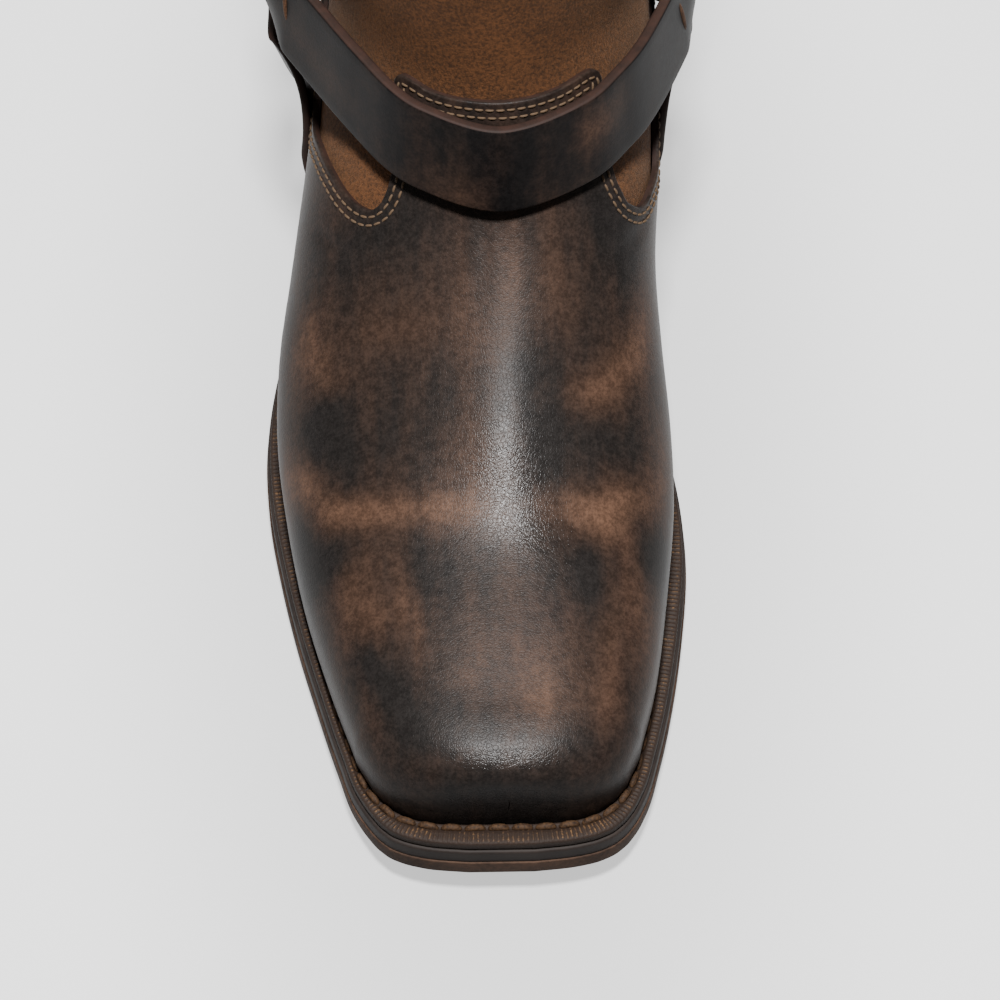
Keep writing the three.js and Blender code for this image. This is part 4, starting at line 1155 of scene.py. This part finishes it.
def stirrup_stations(side):
    """A stirrup's stations from its ring down to the sole."""
    out = np.array([side, 0.0, 0.0])
    pull = pull_of(STIRRUP_TURN)
    start = beside_bar(side, pull, STIRRUP_THICK)
    points, normals = [start, start + pull * FOLD_RETURN], [out, out]
    for turn, u in zip(*STIRRUP_PATH.values()):
        angle = math.pi + math.radians(turn) if side < 0 else -math.radians(turn)
        points.append(offset(u, angle, STIRRUP_THICK + STIRRUP_PLAY))
        normals.append(outward(u, angle))
    curve = Curve(points)
    last = len(points) - 1

    def station(t):
        i = min(int(t * last), last - 1)
        facing_way = mix(normals[i], normals[i + 1], t * last - i)
        tangent = curve.tangent(np.array([t]))[0]
        normal = crosswise(facing_way, tangent)
        across = crosswise(crosswise(LENGTHWISE, tangent), normal)
        opened = soft_step(t * last / 2)
        width = mix(RING_END_WIDTH, STIRRUP_WIDTH, opened)
        return (curve.point(t)[0], across, normal, width, 1 - opened, pull)

    tails = [returned(station(share / last), STIRRUP_THICK) for share in (0.65, 0.4, 0.15)]
    run = [station(t) for t in np.linspace(0, 1, 60)[1:]]
    return [*tails, *fold(side, pull, LENGTHWISE, STIRRUP_THICK), *run]


# Rubbed places of the straps and one painted fold shade, by their place across the boot and their height.
STRAP_RUBS_AND_FOLD_SHADE = table(SPOT_NAMES, [
    # The row at 4 across with a negative strength paints the shade of the instep strap's fold.
    (-8, 97, 9, 11, 0, 0.6), (28, 112, 6, 6, 0, 0.85), (-44, 104, 12, 5, 0, 0.3), (4, 97, 4, 14, 0, -0.4),
    (-22, 95, 8, 5, 30, 0.3), (20, 94, 10, 4, -20, 0.25),
])


def strap_piece(name, points, cut, node):
    """A strap with its cut edges in their own finish."""
    piece = lofted(name, points, cut=cut)
    piece.data.materials.append(strap_leather())
    piece.data.materials.append(cut_edge())
    flags = read(piece, "cut") > 0.5
    sides = [int(all(flags[k] for k in face.vertices)) for face in piece.data.polygons]
    piece.data.polygons.foreach_set("material_index", sides)
    at = co(piece)
    painted(piece, "rub", patches(STRAP_RUBS_AND_FOLD_SHADE, at[:, 0], at[:, 2]))
    registered(piece, "strap_leather", node)


class BOOT_OT_straps(bpy.types.Operator):
    """Adds the instep strap, the heel strap and the two stirrups"""

    bl_idname = "boot.straps"
    bl_label = "Straps"

    def execute(self, context):
        for name, course, count in (("instep", instep_course(), 170), ("heel", heel_course(), 150)):
            strap_piece(f"{name}_strap_leather", *ring_to_ring(*course, count), f"{name}_strap")
        for name, side in (("lateral", -1), ("medial", 1)):
            loops = strap_points(stirrup_stations(side), STIRRUP_THICK)
            strap_piece(f"stirrup_{name}_leather", *loops, f"stirrup_{name}")
        return {"FINISHED"}


class BOOT_OT_rings(bpy.types.Operator):
    """Adds the two steel rings"""

    bl_idname = "boot.rings"
    bl_label = "Rings"

    def execute(self, context):
        for name, side in (("lateral", -1), ("medial", 1)):
            bpy.ops.object.select_all(action="DESELECT")
            bpy.ops.mesh.primitive_torus_add(
                major_radius=RING_RADIUS * MM, minor_radius=RING_BAR * MM, major_segments=96,
                minor_segments=24, rotation=(0, QUARTER, 0), location=tuple(ring_centre(side) * MM),
            )
            piece = bpy.context.object
            piece.name = piece.data.name = f"steel_ring_{name}"
            bpy.ops.object.transform_apply(location=True, rotation=True, scale=True)
            bpy.ops.object.shade_smooth()
            piece.data.materials.append(material("ring_steel", metal))
            registered(piece, "ring_steel", f"ring_{name}")
        return {"FINISHED"}


# Sole, heel and welt


def stations(count):
    """Places along the sole as shares, closer together at both ends."""
    tip = (0, 0.0012, 0.0026, 0.0065, 0.013, 0.023, 0.036, 0.057)
    knots = np.r_[tip, np.linspace(0.08, 0.92, 24), 0.94, 0.962, 0.98, 0.992, 0.997, 1]
    return np.interp(np.linspace(0, len(knots) - 1, count), np.arange(len(knots)), knots)


def edge_point(at, side, inset):
    """The sole's edge on one side (-1 outside, 1 inside), moved in by an inset."""
    column = OUTLINE["lateral" if side < 0 else "medial"]
    half = lambda share: smooth(OUTLINE["at"], column, share) * SOLE_WIDTH
    low, high = np.maximum(at - 0.001, 0), np.minimum(at + 0.001, 1)
    slope = (half(high) - half(low)) / ((high - low) * SOLE_LENGTH)
    run = np.hypot(1, slope)
    across = np.maximum(half(at) - inset / run, 0)
    back = np.clip(at * SOLE_LENGTH + inset * slope / run, inset, SOLE_LENGTH - inset)
    return side * across, back


def layer_points(inset, low, high, round_low, round_high):
    """A layer of the sole with rounded edges, between two heights above the underside."""
    turn = np.radians(np.linspace(0, 90, 6))
    below = [(inset + round_low * (1 - math.sin(a)), low + round_low * (1 - math.cos(a))) for a in turn]
    above = [(inset + round_high * (1 - math.cos(a)), high - round_high * (1 - math.sin(a))) for a in turn]
    middle = [(inset, (low + round_low + high - round_high) / 2)]
    flat = 0.5
    profile = [(below[0][0] + flat, low), *below, *middle, *above, (above[-1][0] + flat, high)]
    at = stations(190)
    columns = []
    for side, order in ((-1, profile), (1, profile[::-1])):
        for moved_in, height in order:
            x, back = edge_point(at, side, moved_in)
            columns.append(place(x, back, underside(back) + height))
    grid = np.stack(columns + columns[:1], axis=1)
    ends = [row * [0, 1, 1] for row in (grid[0], grid[-1])]
    return np.concatenate([ends[:1], grid, ends[1:]])


def heel_loop(inset, z):
    """The heel's outline at an inset, round the back and across the hollow breast."""
    share = HEEL_BREAST / SOLE_LENGTH
    at = np.r_[np.linspace(share, 0.94, 30), stations(190)[stations(190) > 0.945]]
    sides = []
    for side in (1, -1):
        x, back = edge_point(at, side, inset + MIDSOLE_STEP)
        sides.append(np.stack([x, np.maximum(back, HEEL_BREAST + inset)], -1))
    medial, lateral = sides[0], sides[1][::-1]
    half = (medial[0, 0] - lateral[-1, 0]) / 2
    middle = (medial[0, 0] + lateral[-1, 0]) / 2
    t = np.linspace(-1, 1, 22)[1:-1]
    breast = np.stack([middle + t * half, HEEL_BREAST + BREAST_HOLLOW * (1 - t * t) + inset], -1)
    loop = np.concatenate([medial, lateral, breast, medial[:1]])
    return place(loop[:, 0], loop[:, 1], z)


def heel_taper(z):
    """How much narrower the heel is at a height than at its top."""
    return HEEL_TAPER * (1 - z / HEEL_LIFT)


def heel_points(levels, ceiling):
    """Loops of the heel, kept under the sole's underside, closed at both ends."""
    loops = []
    for z, inset in levels:
        loop = heel_loop(heel_taper(z) + inset, z)
        if ceiling:
            loop[:, 2] = np.minimum(loop[:, 2], over_sole(loop) - GAP)
        loops.append(loop)
    caps = []
    for loop in (loops[0], loops[-1]):
        centre = loop[:-1].mean(axis=0)
        if ceiling and loop is loops[-1]:
            centre[2] = over_sole(centre) - GAP
        caps.append([mix(loop, centre, share) for share in (1, 0.03)])
    return np.array([*caps[0], *loops, *caps[1][::-1]])


class BOOT_OT_sole(bpy.types.Operator):
    """Adds the two layers of the sole"""

    bl_idname = "boot.sole"
    bl_label = "Sole"

    def execute(self, context):
        shades = rgb(0.036, 0.02, 0.0128), rgb(0.01, 0.0058, 0.004)
        edge = material("outsole_edge", plain, *shades, 0.75, 60.0, 0.2, Specular_IOR_Level=0.08)
        piece = lofted("outsole_leather", layer_points(0.0, 0.0, OUTSOLE_THICK, 0.6, 0.4))
        coated(piece, edge, 40, "outsole_leather", "outsole")
        shades = rgb(0.012, 0.0085, 0.007), rgb(0.006, 0.0043, 0.0036)
        edge = material("midsole_edge", plain, *shades, 0.65, 80.0, 0.08, Specular_IOR_Level=0.1)
        points = layer_points(MIDSOLE_STEP, OUTSOLE_THICK + 0.05, SOLE_STACK, 0.3, 0.9)
        coated(lofted("midsole_leather", points), edge, 40, "midsole_leather", "midsole")
        return {"FINISHED"}


class BOOT_OT_heel(bpy.types.Operator):
    """Adds the stacked lifts of the heel and its rubber top piece"""

    bl_idname = "boot.heel"
    bl_label = "Heel"

    def execute(self, context):
        base, top = TOP_PIECE_THICK + GAP, HEEL_LIFT + 0.2
        levels = [(base, 0.5), (base + 0.3, 0.1), (base + 0.6, 0.0)]
        z = base + LIFT_THICK
        while z < top - 1:
            levels += [(z - 0.5, 0.0), (z - 0.12, 0.25), (z + 0.12, 0.25), (z + 0.5, 0.0)]
            z += LIFT_THICK
        piece = lofted("heel_lifts", heel_points([*levels, (top, 0.0)], True))
        shades = rgb(0.02, 0.0105, 0.006), rgb(0.006, 0.0034, 0.0022)
        lifts = material("stacked_leather", stacked, *shades)
        coated(piece, lifts, 35, "stack_leather", "heel_stack")
        top = TOP_PIECE_THICK
        levels = [(0, 0.9), (0.25, 0.3), (0.8, 0.0), (top - 0.5, 0.0), (top - 0.1, 0.15), (top, 0.5)]
        piece = lofted("heel_rubber", heel_points(levels, False))
        shades = rgb(0.01, 0.009, 0.0088), rgb(0.005, 0.0045, 0.0042)
        rubber = material("top_piece_rubber", plain, *shades, 0.75, 150.0, 0.12)
        coated(piece, rubber, 35, "top_piece_rubber", "heel_top_piece")
        return {"FINISHED"}


def upper_contour(clear):
    """The upper's outline in plan at a height above the sole, from the outside to the inside."""
    rows = np.r_[toe_rows(160), np.linspace(0, 8.6, 400)]
    low, high = floor_span(rows, clear)
    inside = surface(rows, np.radians(low))
    outside = surface(rows, np.radians(high))
    open_rows = low > -89.9
    return np.concatenate([outside[open_rows][::-1], inside[open_rows]])[:, :2]


def welt_course(step):
    """The welt's outer edge in plan, its outward direction and its width, evenly spaced."""
    at = stations(900)
    at = at[at <= WELT_END / SOLE_LENGTH]
    sides = []
    for side in (-1, 1):
        x, back = edge_point(at, side, WELT_STEP)
        sides.append(np.stack([x, back - HEEL_CENTRE], -1))
    outer = resample(np.concatenate([sides[0][::-1], sides[1]]), step)
    tangent = unit(np.gradient(outer, axis=0))
    normal = np.stack([tangent[:, 1], -tangent[:, 0]], -1)
    contour = resample(upper_contour(GAP + 1.5), 0.4)
    gaps = np.array([np.sqrt(((contour - p) ** 2).sum(1).min()) for p in outer])
    return outer, normal, blur(gaps, 41)


# The pitch and height of the welt's ribs, and how many rows of points one rib takes.
WELT_RIB = 1.25
RIB_HEIGHT = 0.26
RIB_ROWS = 5
# The welt's distance from the upper, and where its stitches lie beyond that and above its foot.
WELT_CLEAR = 0.25
WELT_STITCH_IN = 1.15
WELT_STITCH_UP = 2.75


def welt_points():
    """The welt's loops across its width, and how high each point lies on a rib."""
    outer, normal, width = welt_course(WELT_RIB / RIB_ROWS)
    wave = 0.5 - 0.5 * np.cos(np.arange(len(outer)) * 2 * math.pi / RIB_ROWS)
    inner = np.maximum(width - WELT_CLEAR, 1.2)
    ribs_to = np.maximum(inner - 2.4, 0.9)
    groove = [(np.maximum(inner - far, least), up, 0) for far, least, up in (
        (1.9, 1.0, 2.2), (1.2, 1.05, 1.9), (0.5, 1.1, 2.1),
    )]
    profile = [
        (inner, 0.0, 0), (0.35, 0.0, 0), (0.1, 0.12, 0), (0.0, 0.5, 0), (0.0, 1.9, 0), (0.08, 2.3, 0),
        (0.35, 2.6, 0.3), (0.8, 2.72, 1), (mix(0.8, ribs_to, 0.33), 2.76, 1),
        (mix(0.8, ribs_to, 0.66), 2.78, 1), (ribs_to, 2.75, 0.8), *groove,
        (inner, 2.3, 0), (inner, 1.2, 0), (inner, 0.0, 0),
    ]
    columns = []
    for inset, height, rib in profile:
        flat = outer - normal * np.broadcast_to(inset, len(outer))[:, None]
        z = over_sole(flat) + (SOLE_STACK + GAP) + height + RIB_HEIGHT * rib * wave
        columns.append(np.concatenate([flat, z[:, None]], axis=1))
    grid = np.stack(columns, axis=1)
    ends = [np.broadcast_to(grid[i][:-1].mean(axis=0), grid[i].shape) for i in (0, -1)]
    shares = np.array([rib for _, _, rib in profile])
    ribs = np.pad(wave[:, None] * shares[None], ((1, 1), (0, 0)))
    return np.concatenate([ends[0][None], grid, ends[1][None]]), ribs


def ribbed(name):
    """Dark welt leather, tan on the crests of its ribs where the fibre and cloud noises are high."""
    paint = Paint(name, Specular_IOR_Level=0.15)
    cloud = paint.noise(150.0, 5.0, 0.6)
    fibre = paint.noise(1800.0, 4.0, 0.7)
    tan = paint.step(paint.own("rib") + (fibre - 0.5) * 2.6 + (cloud - 0.5) * 1.6, 0.75, 1.5)
    base = paint.blend(cloud, rgb(0.0045, 0.0024, 0.0015), rgb(0.012, 0.006, 0.0032))
    paint.feed(Base_Color=paint.blend(tan, base, rgb(0.06, 0.031, 0.012)), Roughness=0.6 + fibre * 0.2)
    paint.bump((fibre, 0.15))
    return paint.material


class BOOT_OT_welt(bpy.types.Operator):
    """Adds the ribbed welt"""

    bl_idname = "boot.welt"
    bl_label = "Welt"

    def execute(self, context):
        points, ribs = welt_points()
        piece = lofted("ribbed_welt", points, rib=ribs)
        piece.data.materials.append(material("welt_leather", ribbed))
        registered(piece, "welt_leather", "welt")
        return {"FINISHED"}


# Stitches


def stitch_form(length, radius, sag):
    """One stitch: a thread that dips into the leather at both ends."""
    bpy.ops.object.select_all(action="DESELECT")
    bpy.ops.mesh.primitive_cylinder_add(
        vertices=8, radius=1.0, depth=1.0, end_fill_type="TRIFAN", rotation=(0, QUARTER, 0),
    )
    bpy.ops.object.transform_apply(location=False, rotation=True, scale=False)
    cuts = (0.3, 0.12, -0.12, -0.3, 0.42, -0.42)
    edited(*[(bpy.ops.mesh.bisect, {"plane_co": (x, 0, 0), "plane_no": (1, 0, 0)}) for x in cuts])
    form = bpy.context.object
    at = co(form) * MM
    t = np.clip(np.abs(at[:, 0]) * 2, 0, 1)
    slim = np.sqrt(np.maximum(1 - t**4, 0.12))
    shaped = [at[:, 0] * length, at[:, 1] * radius * slim, at[:, 2] * radius * slim * 0.85 - sag * t**2.5]
    moved(form, np.stack(shaped, -1))
    bpy.ops.object.shade_smooth()
    return form


def sewn(name, rows, form, coat, slot):
    """Copies of one stitch along rows of places: middle, direction and the surface's normal."""
    copies = []
    for middles, ways, normals in rows:
        for middle, way, normal in zip(middles, ways, normals):
            copy = form.copy()
            copy.data = form.data.copy()
            copy.data.transform(placement(way, unit(np.cross(normal, way)), normal, middle * MM))
            bpy.context.collection.objects.link(copy)
            copies.append(copy)
    bpy.ops.object.select_all(action="DESELECT")
    for copy in copies:
        copy.select_set(True)
    bpy.context.view_layer.objects.active = copies[0]
    bpy.ops.object.join()
    piece = bpy.context.object
    piece.name = piece.data.name = name
    bpy.data.objects.remove(form)
    piece.data.materials.append(coat)
    registered(piece, slot)


def thread(name, light, deep):
    """Matt twisted thread."""
    paint = Paint(name, Specular_IOR_Level=0.08)
    twist = paint.noise(1500.0, 3.0, 0.6)
    base = paint.blend(paint.step(twist, 0.25, 0.75), deep, light)
    paint.feed(Base_Color=base, Roughness=0.6 + twist * 0.2)
    paint.bump((twist, 0.1))
    return paint.material


def inset_path(degrees, u, distance, inside):
    """A path on the surface at a distance from an edge, towards a place inside the piece."""
    turn = np.radians(degrees)
    edge = surface(u, turn)
    tangent = unit(np.gradient(edge, axis=0))
    normal = outward(u, turn)
    side = np.cross(normal, tangent)
    if ((np.asarray(inside) - edge) * side).sum() < 0:
        side = -side
    goal = edge + side * distance
    at_u, at_turn = u.copy(), turn.copy()
    e = 0.002
    for _ in range(4):
        here = surface(at_u, at_turn)
        du = (surface(at_u + e, at_turn) - here) / e
        dt = (surface(at_u, at_turn + e) - here) / e
        miss = goal - here
        a, b, c = (du * du).sum(-1), (du * dt).sum(-1), (dt * dt).sum(-1)
        p, q = (du * miss).sum(-1), (dt * miss).sum(-1)
        det = a * c - b * b
        at_u = at_u + (c * p - b * q) / det
        at_turn = at_turn + (a * q - b * p) / det
    return at_u, at_turn


def stitch_places(length, pitch):
    """Middles of stitches of about one pitch that fill a line, as lengths along it."""
    count = int(length[-1] / pitch)
    return (np.arange(count) + 0.5) * length[-1] / count


def row_of_stitches(at_u, at_turn, pitch, lift):
    """Middles, directions and normals of stitches along a path on the surface."""
    path = np.stack([blur(at_u, 9), blur(at_turn, 9)], -1)
    length = arc(surface(*path.T))
    t = stitch_places(length, pitch)
    u, turn = picked(path, length, t).T
    ahead, behind = (surface(*picked(path, length, at).T) for at in (t + 0.4, t - 0.4))
    return offset(u, turn, lift), unit(ahead - behind), outward(u, turn)


# The thick tack across each end of the instep strap: its middle, its way and the strap's normal.
STRAP_TACKS = (
    ("lateral", (-52.35, -68.69, 109.55), (0.0, 0.278, 0.961), (-0.846, -0.512, 0.149)),
    ("medial", (50.33, -71.61, 104.65), (-0.178, -0.086, 0.98), (0.927, -0.343, 0.138)),
)
TACK_LENGTH = 15.0
# The two rows' distances from the edge, and each thread's radius and dip in the leather.
STITCH_INSETS = (2.1, 4.3)
FINE_THREAD = (0.36, 0.3)
TACK_THREAD = (0.75, 0.8)
WELT_THREAD = (1.0, 0.7)
WELT_PITCH = 5.9
STITCH_LIFT = 0.12


class BOOT_OT_stitches(bpy.types.Operator):
    """Adds the stitches of the vamp, the counter and the welt, and the strap's two tacks"""

    bl_idname = "boot.stitches"
    bl_label = "Stitches"

    def execute(self, context):
        pitch = looks().stitch / MM
        beige = material("beige_thread", thread, tuple(looks().thread), rgb(0.04, 0.024, 0.013))
        heel_turns = np.linspace(-4, -176, 500)
        for name, degrees, u, inside in (
            ("vamp_stitches", *edge_curve(-6, 186, 0.6), (0, -200, 40)),
            ("counter_stitches", heel_turns, counter_limits(heel_turns)[1], (0, -20, 30)),
        ):
            paths = [inset_path(degrees, u, distance, inside) for distance in STITCH_INSETS]
            rows = [row_of_stitches(*path, pitch, STITCH_LIFT) for path in paths]
            sewn(name, rows, stitch_form(pitch * 0.86, *FINE_THREAD), beige, "rubbed_leather")
        outer, normal, width = welt_course(0.5)
        inset = np.maximum(width - WELT_CLEAR - WELT_STITCH_IN, 1.05)
        flat = outer - normal * inset[:, None]
        height = over_sole(flat) + SOLE_STACK + GAP + WELT_STITCH_UP
        path = np.concatenate([flat, height[:, None]], axis=1)
        length = arc(path)
        t = stitch_places(length, WELT_PITCH)
        ways = unit(picked(path, length, t + 0.5) - picked(path, length, t - 0.5))
        ups = crosswise(np.broadcast_to(UPRIGHT, ways.shape), ways)
        dark = material("welt_thread", thread, rgb(0.03, 0.0155, 0.007), rgb(0.006, 0.0032, 0.002))
        tan = material("tack_thread", thread, rgb(0.05, 0.024, 0.012), rgb(0.014, 0.007, 0.004))
        for name, middle, way, facing_way in STRAP_TACKS:
            row = [np.array([middle]), unit(np.array([way])), unit(np.array([facing_way]))]
            sewn(f"strap_tack_{name}", [row], stitch_form(TACK_LENGTH, *TACK_THREAD), tan, "strap_leather")
        row = [picked(path, length, t), ways, ups]
        sewn("welt_stitches", [row], stitch_form(WELT_PITCH * 0.9, *WELT_THREAD), dark, "welt_leather")
        return {"FINISHED"}


class BOOT_OT_inside(bpy.types.Operator):
    """Gives the insole its leather"""

    bl_idname = "boot.inside"
    bl_label = "Insole"

    def execute(self, context):
        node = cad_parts["insole"]
        node.data.materials.clear()
        shades = rgb(0.15, 0.085, 0.042), rgb(0.11, 0.06, 0.03)
        node.data.materials.append(material("insole_leather", plain, *shades, 0.7, 90.0, 0.05))
        return {"FINISHED"}


# Stage

# The camera looks at a place on the instep from the photograph's angle.
LOOKED_AT = (1.0, -188.0, 55.0)
CAMERA_DISTANCE = 1150.0
CAMERA_RISE = math.radians(56.0)
CAMERA_YAW = math.radians(-1.0)
CAMERA_LENS = 163.53
CAMERA_SENSOR = 36.0

# The floor's width and its distance under the sole, in metres.
FLOOR_SIZE = 12
FLOOR_DROP = 0.0005

# The lamp in metres and watts, and the brightness of the room.
LAMP_AT = np.array((0.0, -0.37, 1.3))
LAMP_TARGET = np.array((0, -0.18, 0.05))
LAMP_SIZE = 0.18
LAMP_POWER = 92
ROOM_LIGHT = 0.34

# The floor's own light, in metres: how far its middle lies in front of the heel's, the half
# widths of an oval round the boot, the shares of that oval between which it grows brighter with
# its brightness there, a dimming that paints a shadow round the boot, and the distances between
# which it fades out.
POOL_AHEAD = 0.115
PAINTED_SHADOW_OVAL = (0.055, 0.155)
PAINTED_SHADOW_RAMP = (0.8, 2.4, 0.55, 1.0)
POOL_FADE = (0.26, 0.7, 1.0, 0.0)


def add_lamp():
    """Hangs the one soft lamp over the toe."""
    lamp = bpy.data.lights.new("over", "AREA")
    lamp.shape, lamp.size, lamp.size_y = "RECTANGLE", LAMP_SIZE, LAMP_SIZE
    lamp.energy = LAMP_POWER
    thing = bpy.data.objects.new("over", lamp)
    bpy.context.collection.objects.link(thing)
    back = unit(LAMP_AT - LAMP_TARGET)
    right = unit(np.cross(UPRIGHT, back))
    thing.matrix_world = placement(right, np.cross(back, right), back, LAMP_AT)


class BOOT_OT_stage(bpy.types.Operator):
    """Adds the camera, the soft lights and the pale floor"""

    bl_idname = "boot.stage"
    bl_label = "Stage"

    def execute(self, context):
        lens = bpy.data.cameras.new("view")
        lens.sensor_width, lens.lens = CAMERA_SENSOR, CAMERA_LENS
        camera = bpy.data.objects.new("view", lens)
        context.collection.objects.link(camera)
        rise, yaw = CAMERA_RISE, CAMERA_YAW
        back = np.array([math.sin(yaw) * math.cos(rise), -math.cos(yaw) * math.cos(rise), math.sin(rise)])
        right = np.array([math.cos(yaw), math.sin(yaw), 0.0])
        stand = (np.array(LOOKED_AT) + back * CAMERA_DISTANCE) * MM
        camera.matrix_world = placement(right, np.cross(back, right), back, stand)
        context.scene.camera = camera
        bpy.ops.object.select_all(action="DESELECT")
        bpy.ops.mesh.primitive_plane_add(size=FLOOR_SIZE, location=(0, 0, -FLOOR_DROP))
        floor = context.object
        floor.name = floor.data.name = "pale_floor"
        settings = {"Base_Color": tuple(looks().floor), "Emission_Strength": looks().glow}
        paint = Paint("pale_floor", Specular_IOR_Level=0.1, **settings)
        # The floor glows, dimmed in an oval round the boot to paint a soft contact shadow there.
        across, along = paint.part(0), paint.part(1) + POOL_AHEAD
        wide, long = (1 / half for half in PAINTED_SHADOW_OVAL)
        shadow_oval_reach = ((across * wide) ** 2.0 + (along * long) ** 2.0) ** 0.5
        away = (across * across + along * along) ** 0.5
        glow_with_painted_shadow = paint.step(shadow_oval_reach, *PAINTED_SHADOW_RAMP) * paint.step(away, *POOL_FADE)
        cloud = paint.noise(3.0, 2.0, 0.5)
        paint.feed(Roughness=0.85 + cloud * 0.05, Emission_Color=paint.grey(glow_with_painted_shadow))
        floor.data.materials.append(paint.material)
        world = bpy.data.worlds.new("soft_room")
        context.scene.world = world
        world.use_nodes = True
        room = world.node_tree.nodes["Background"].inputs
        room[0].default_value, room[1].default_value = rgb(1, 1, 1), ROOM_LIGHT
        add_lamp()
        return {"FINISHED"}


class BOOT_PT_panel(bpy.types.Panel):
    """Lists the boot's settings and steps"""

    bl_idname = "BOOT_PT_panel"
    bl_label = "Harness boot"
    bl_space_type = "VIEW_3D"
    bl_region_type = "UI"
    bl_category = "Boot"

    def draw(self, context):
        for name in BootLooks.__annotations__:
            self.layout.prop(context.scene.boot_looks, name)
        for step in STEPS:
            self.layout.operator(step.bl_idname)


STEPS = (
    BOOT_OT_stage, BOOT_OT_upper, BOOT_OT_vamp, BOOT_OT_counter, BOOT_OT_straps, BOOT_OT_rings,
    BOOT_OT_sole, BOOT_OT_heel, BOOT_OT_welt, BOOT_OT_stitches, BOOT_OT_inside,
)
CLASSES = (BootLooks, *STEPS, BOOT_PT_panel)


def register():
    for kind in CLASSES:
        bpy.utils.register_class(kind)
    bpy.types.Scene.boot_looks = bpy.props.PointerProperty(type=BootLooks)


def unregister():
    del bpy.types.Scene.boot_looks
    for kind in reversed(CLASSES):
        bpy.utils.unregister_class(kind)


def main():
    register()
    for step in STEPS:
        group, name = step.bl_idname.split(".")
        getattr(getattr(bpy.ops, group), name)()


if __name__ == "__main__":
    main()
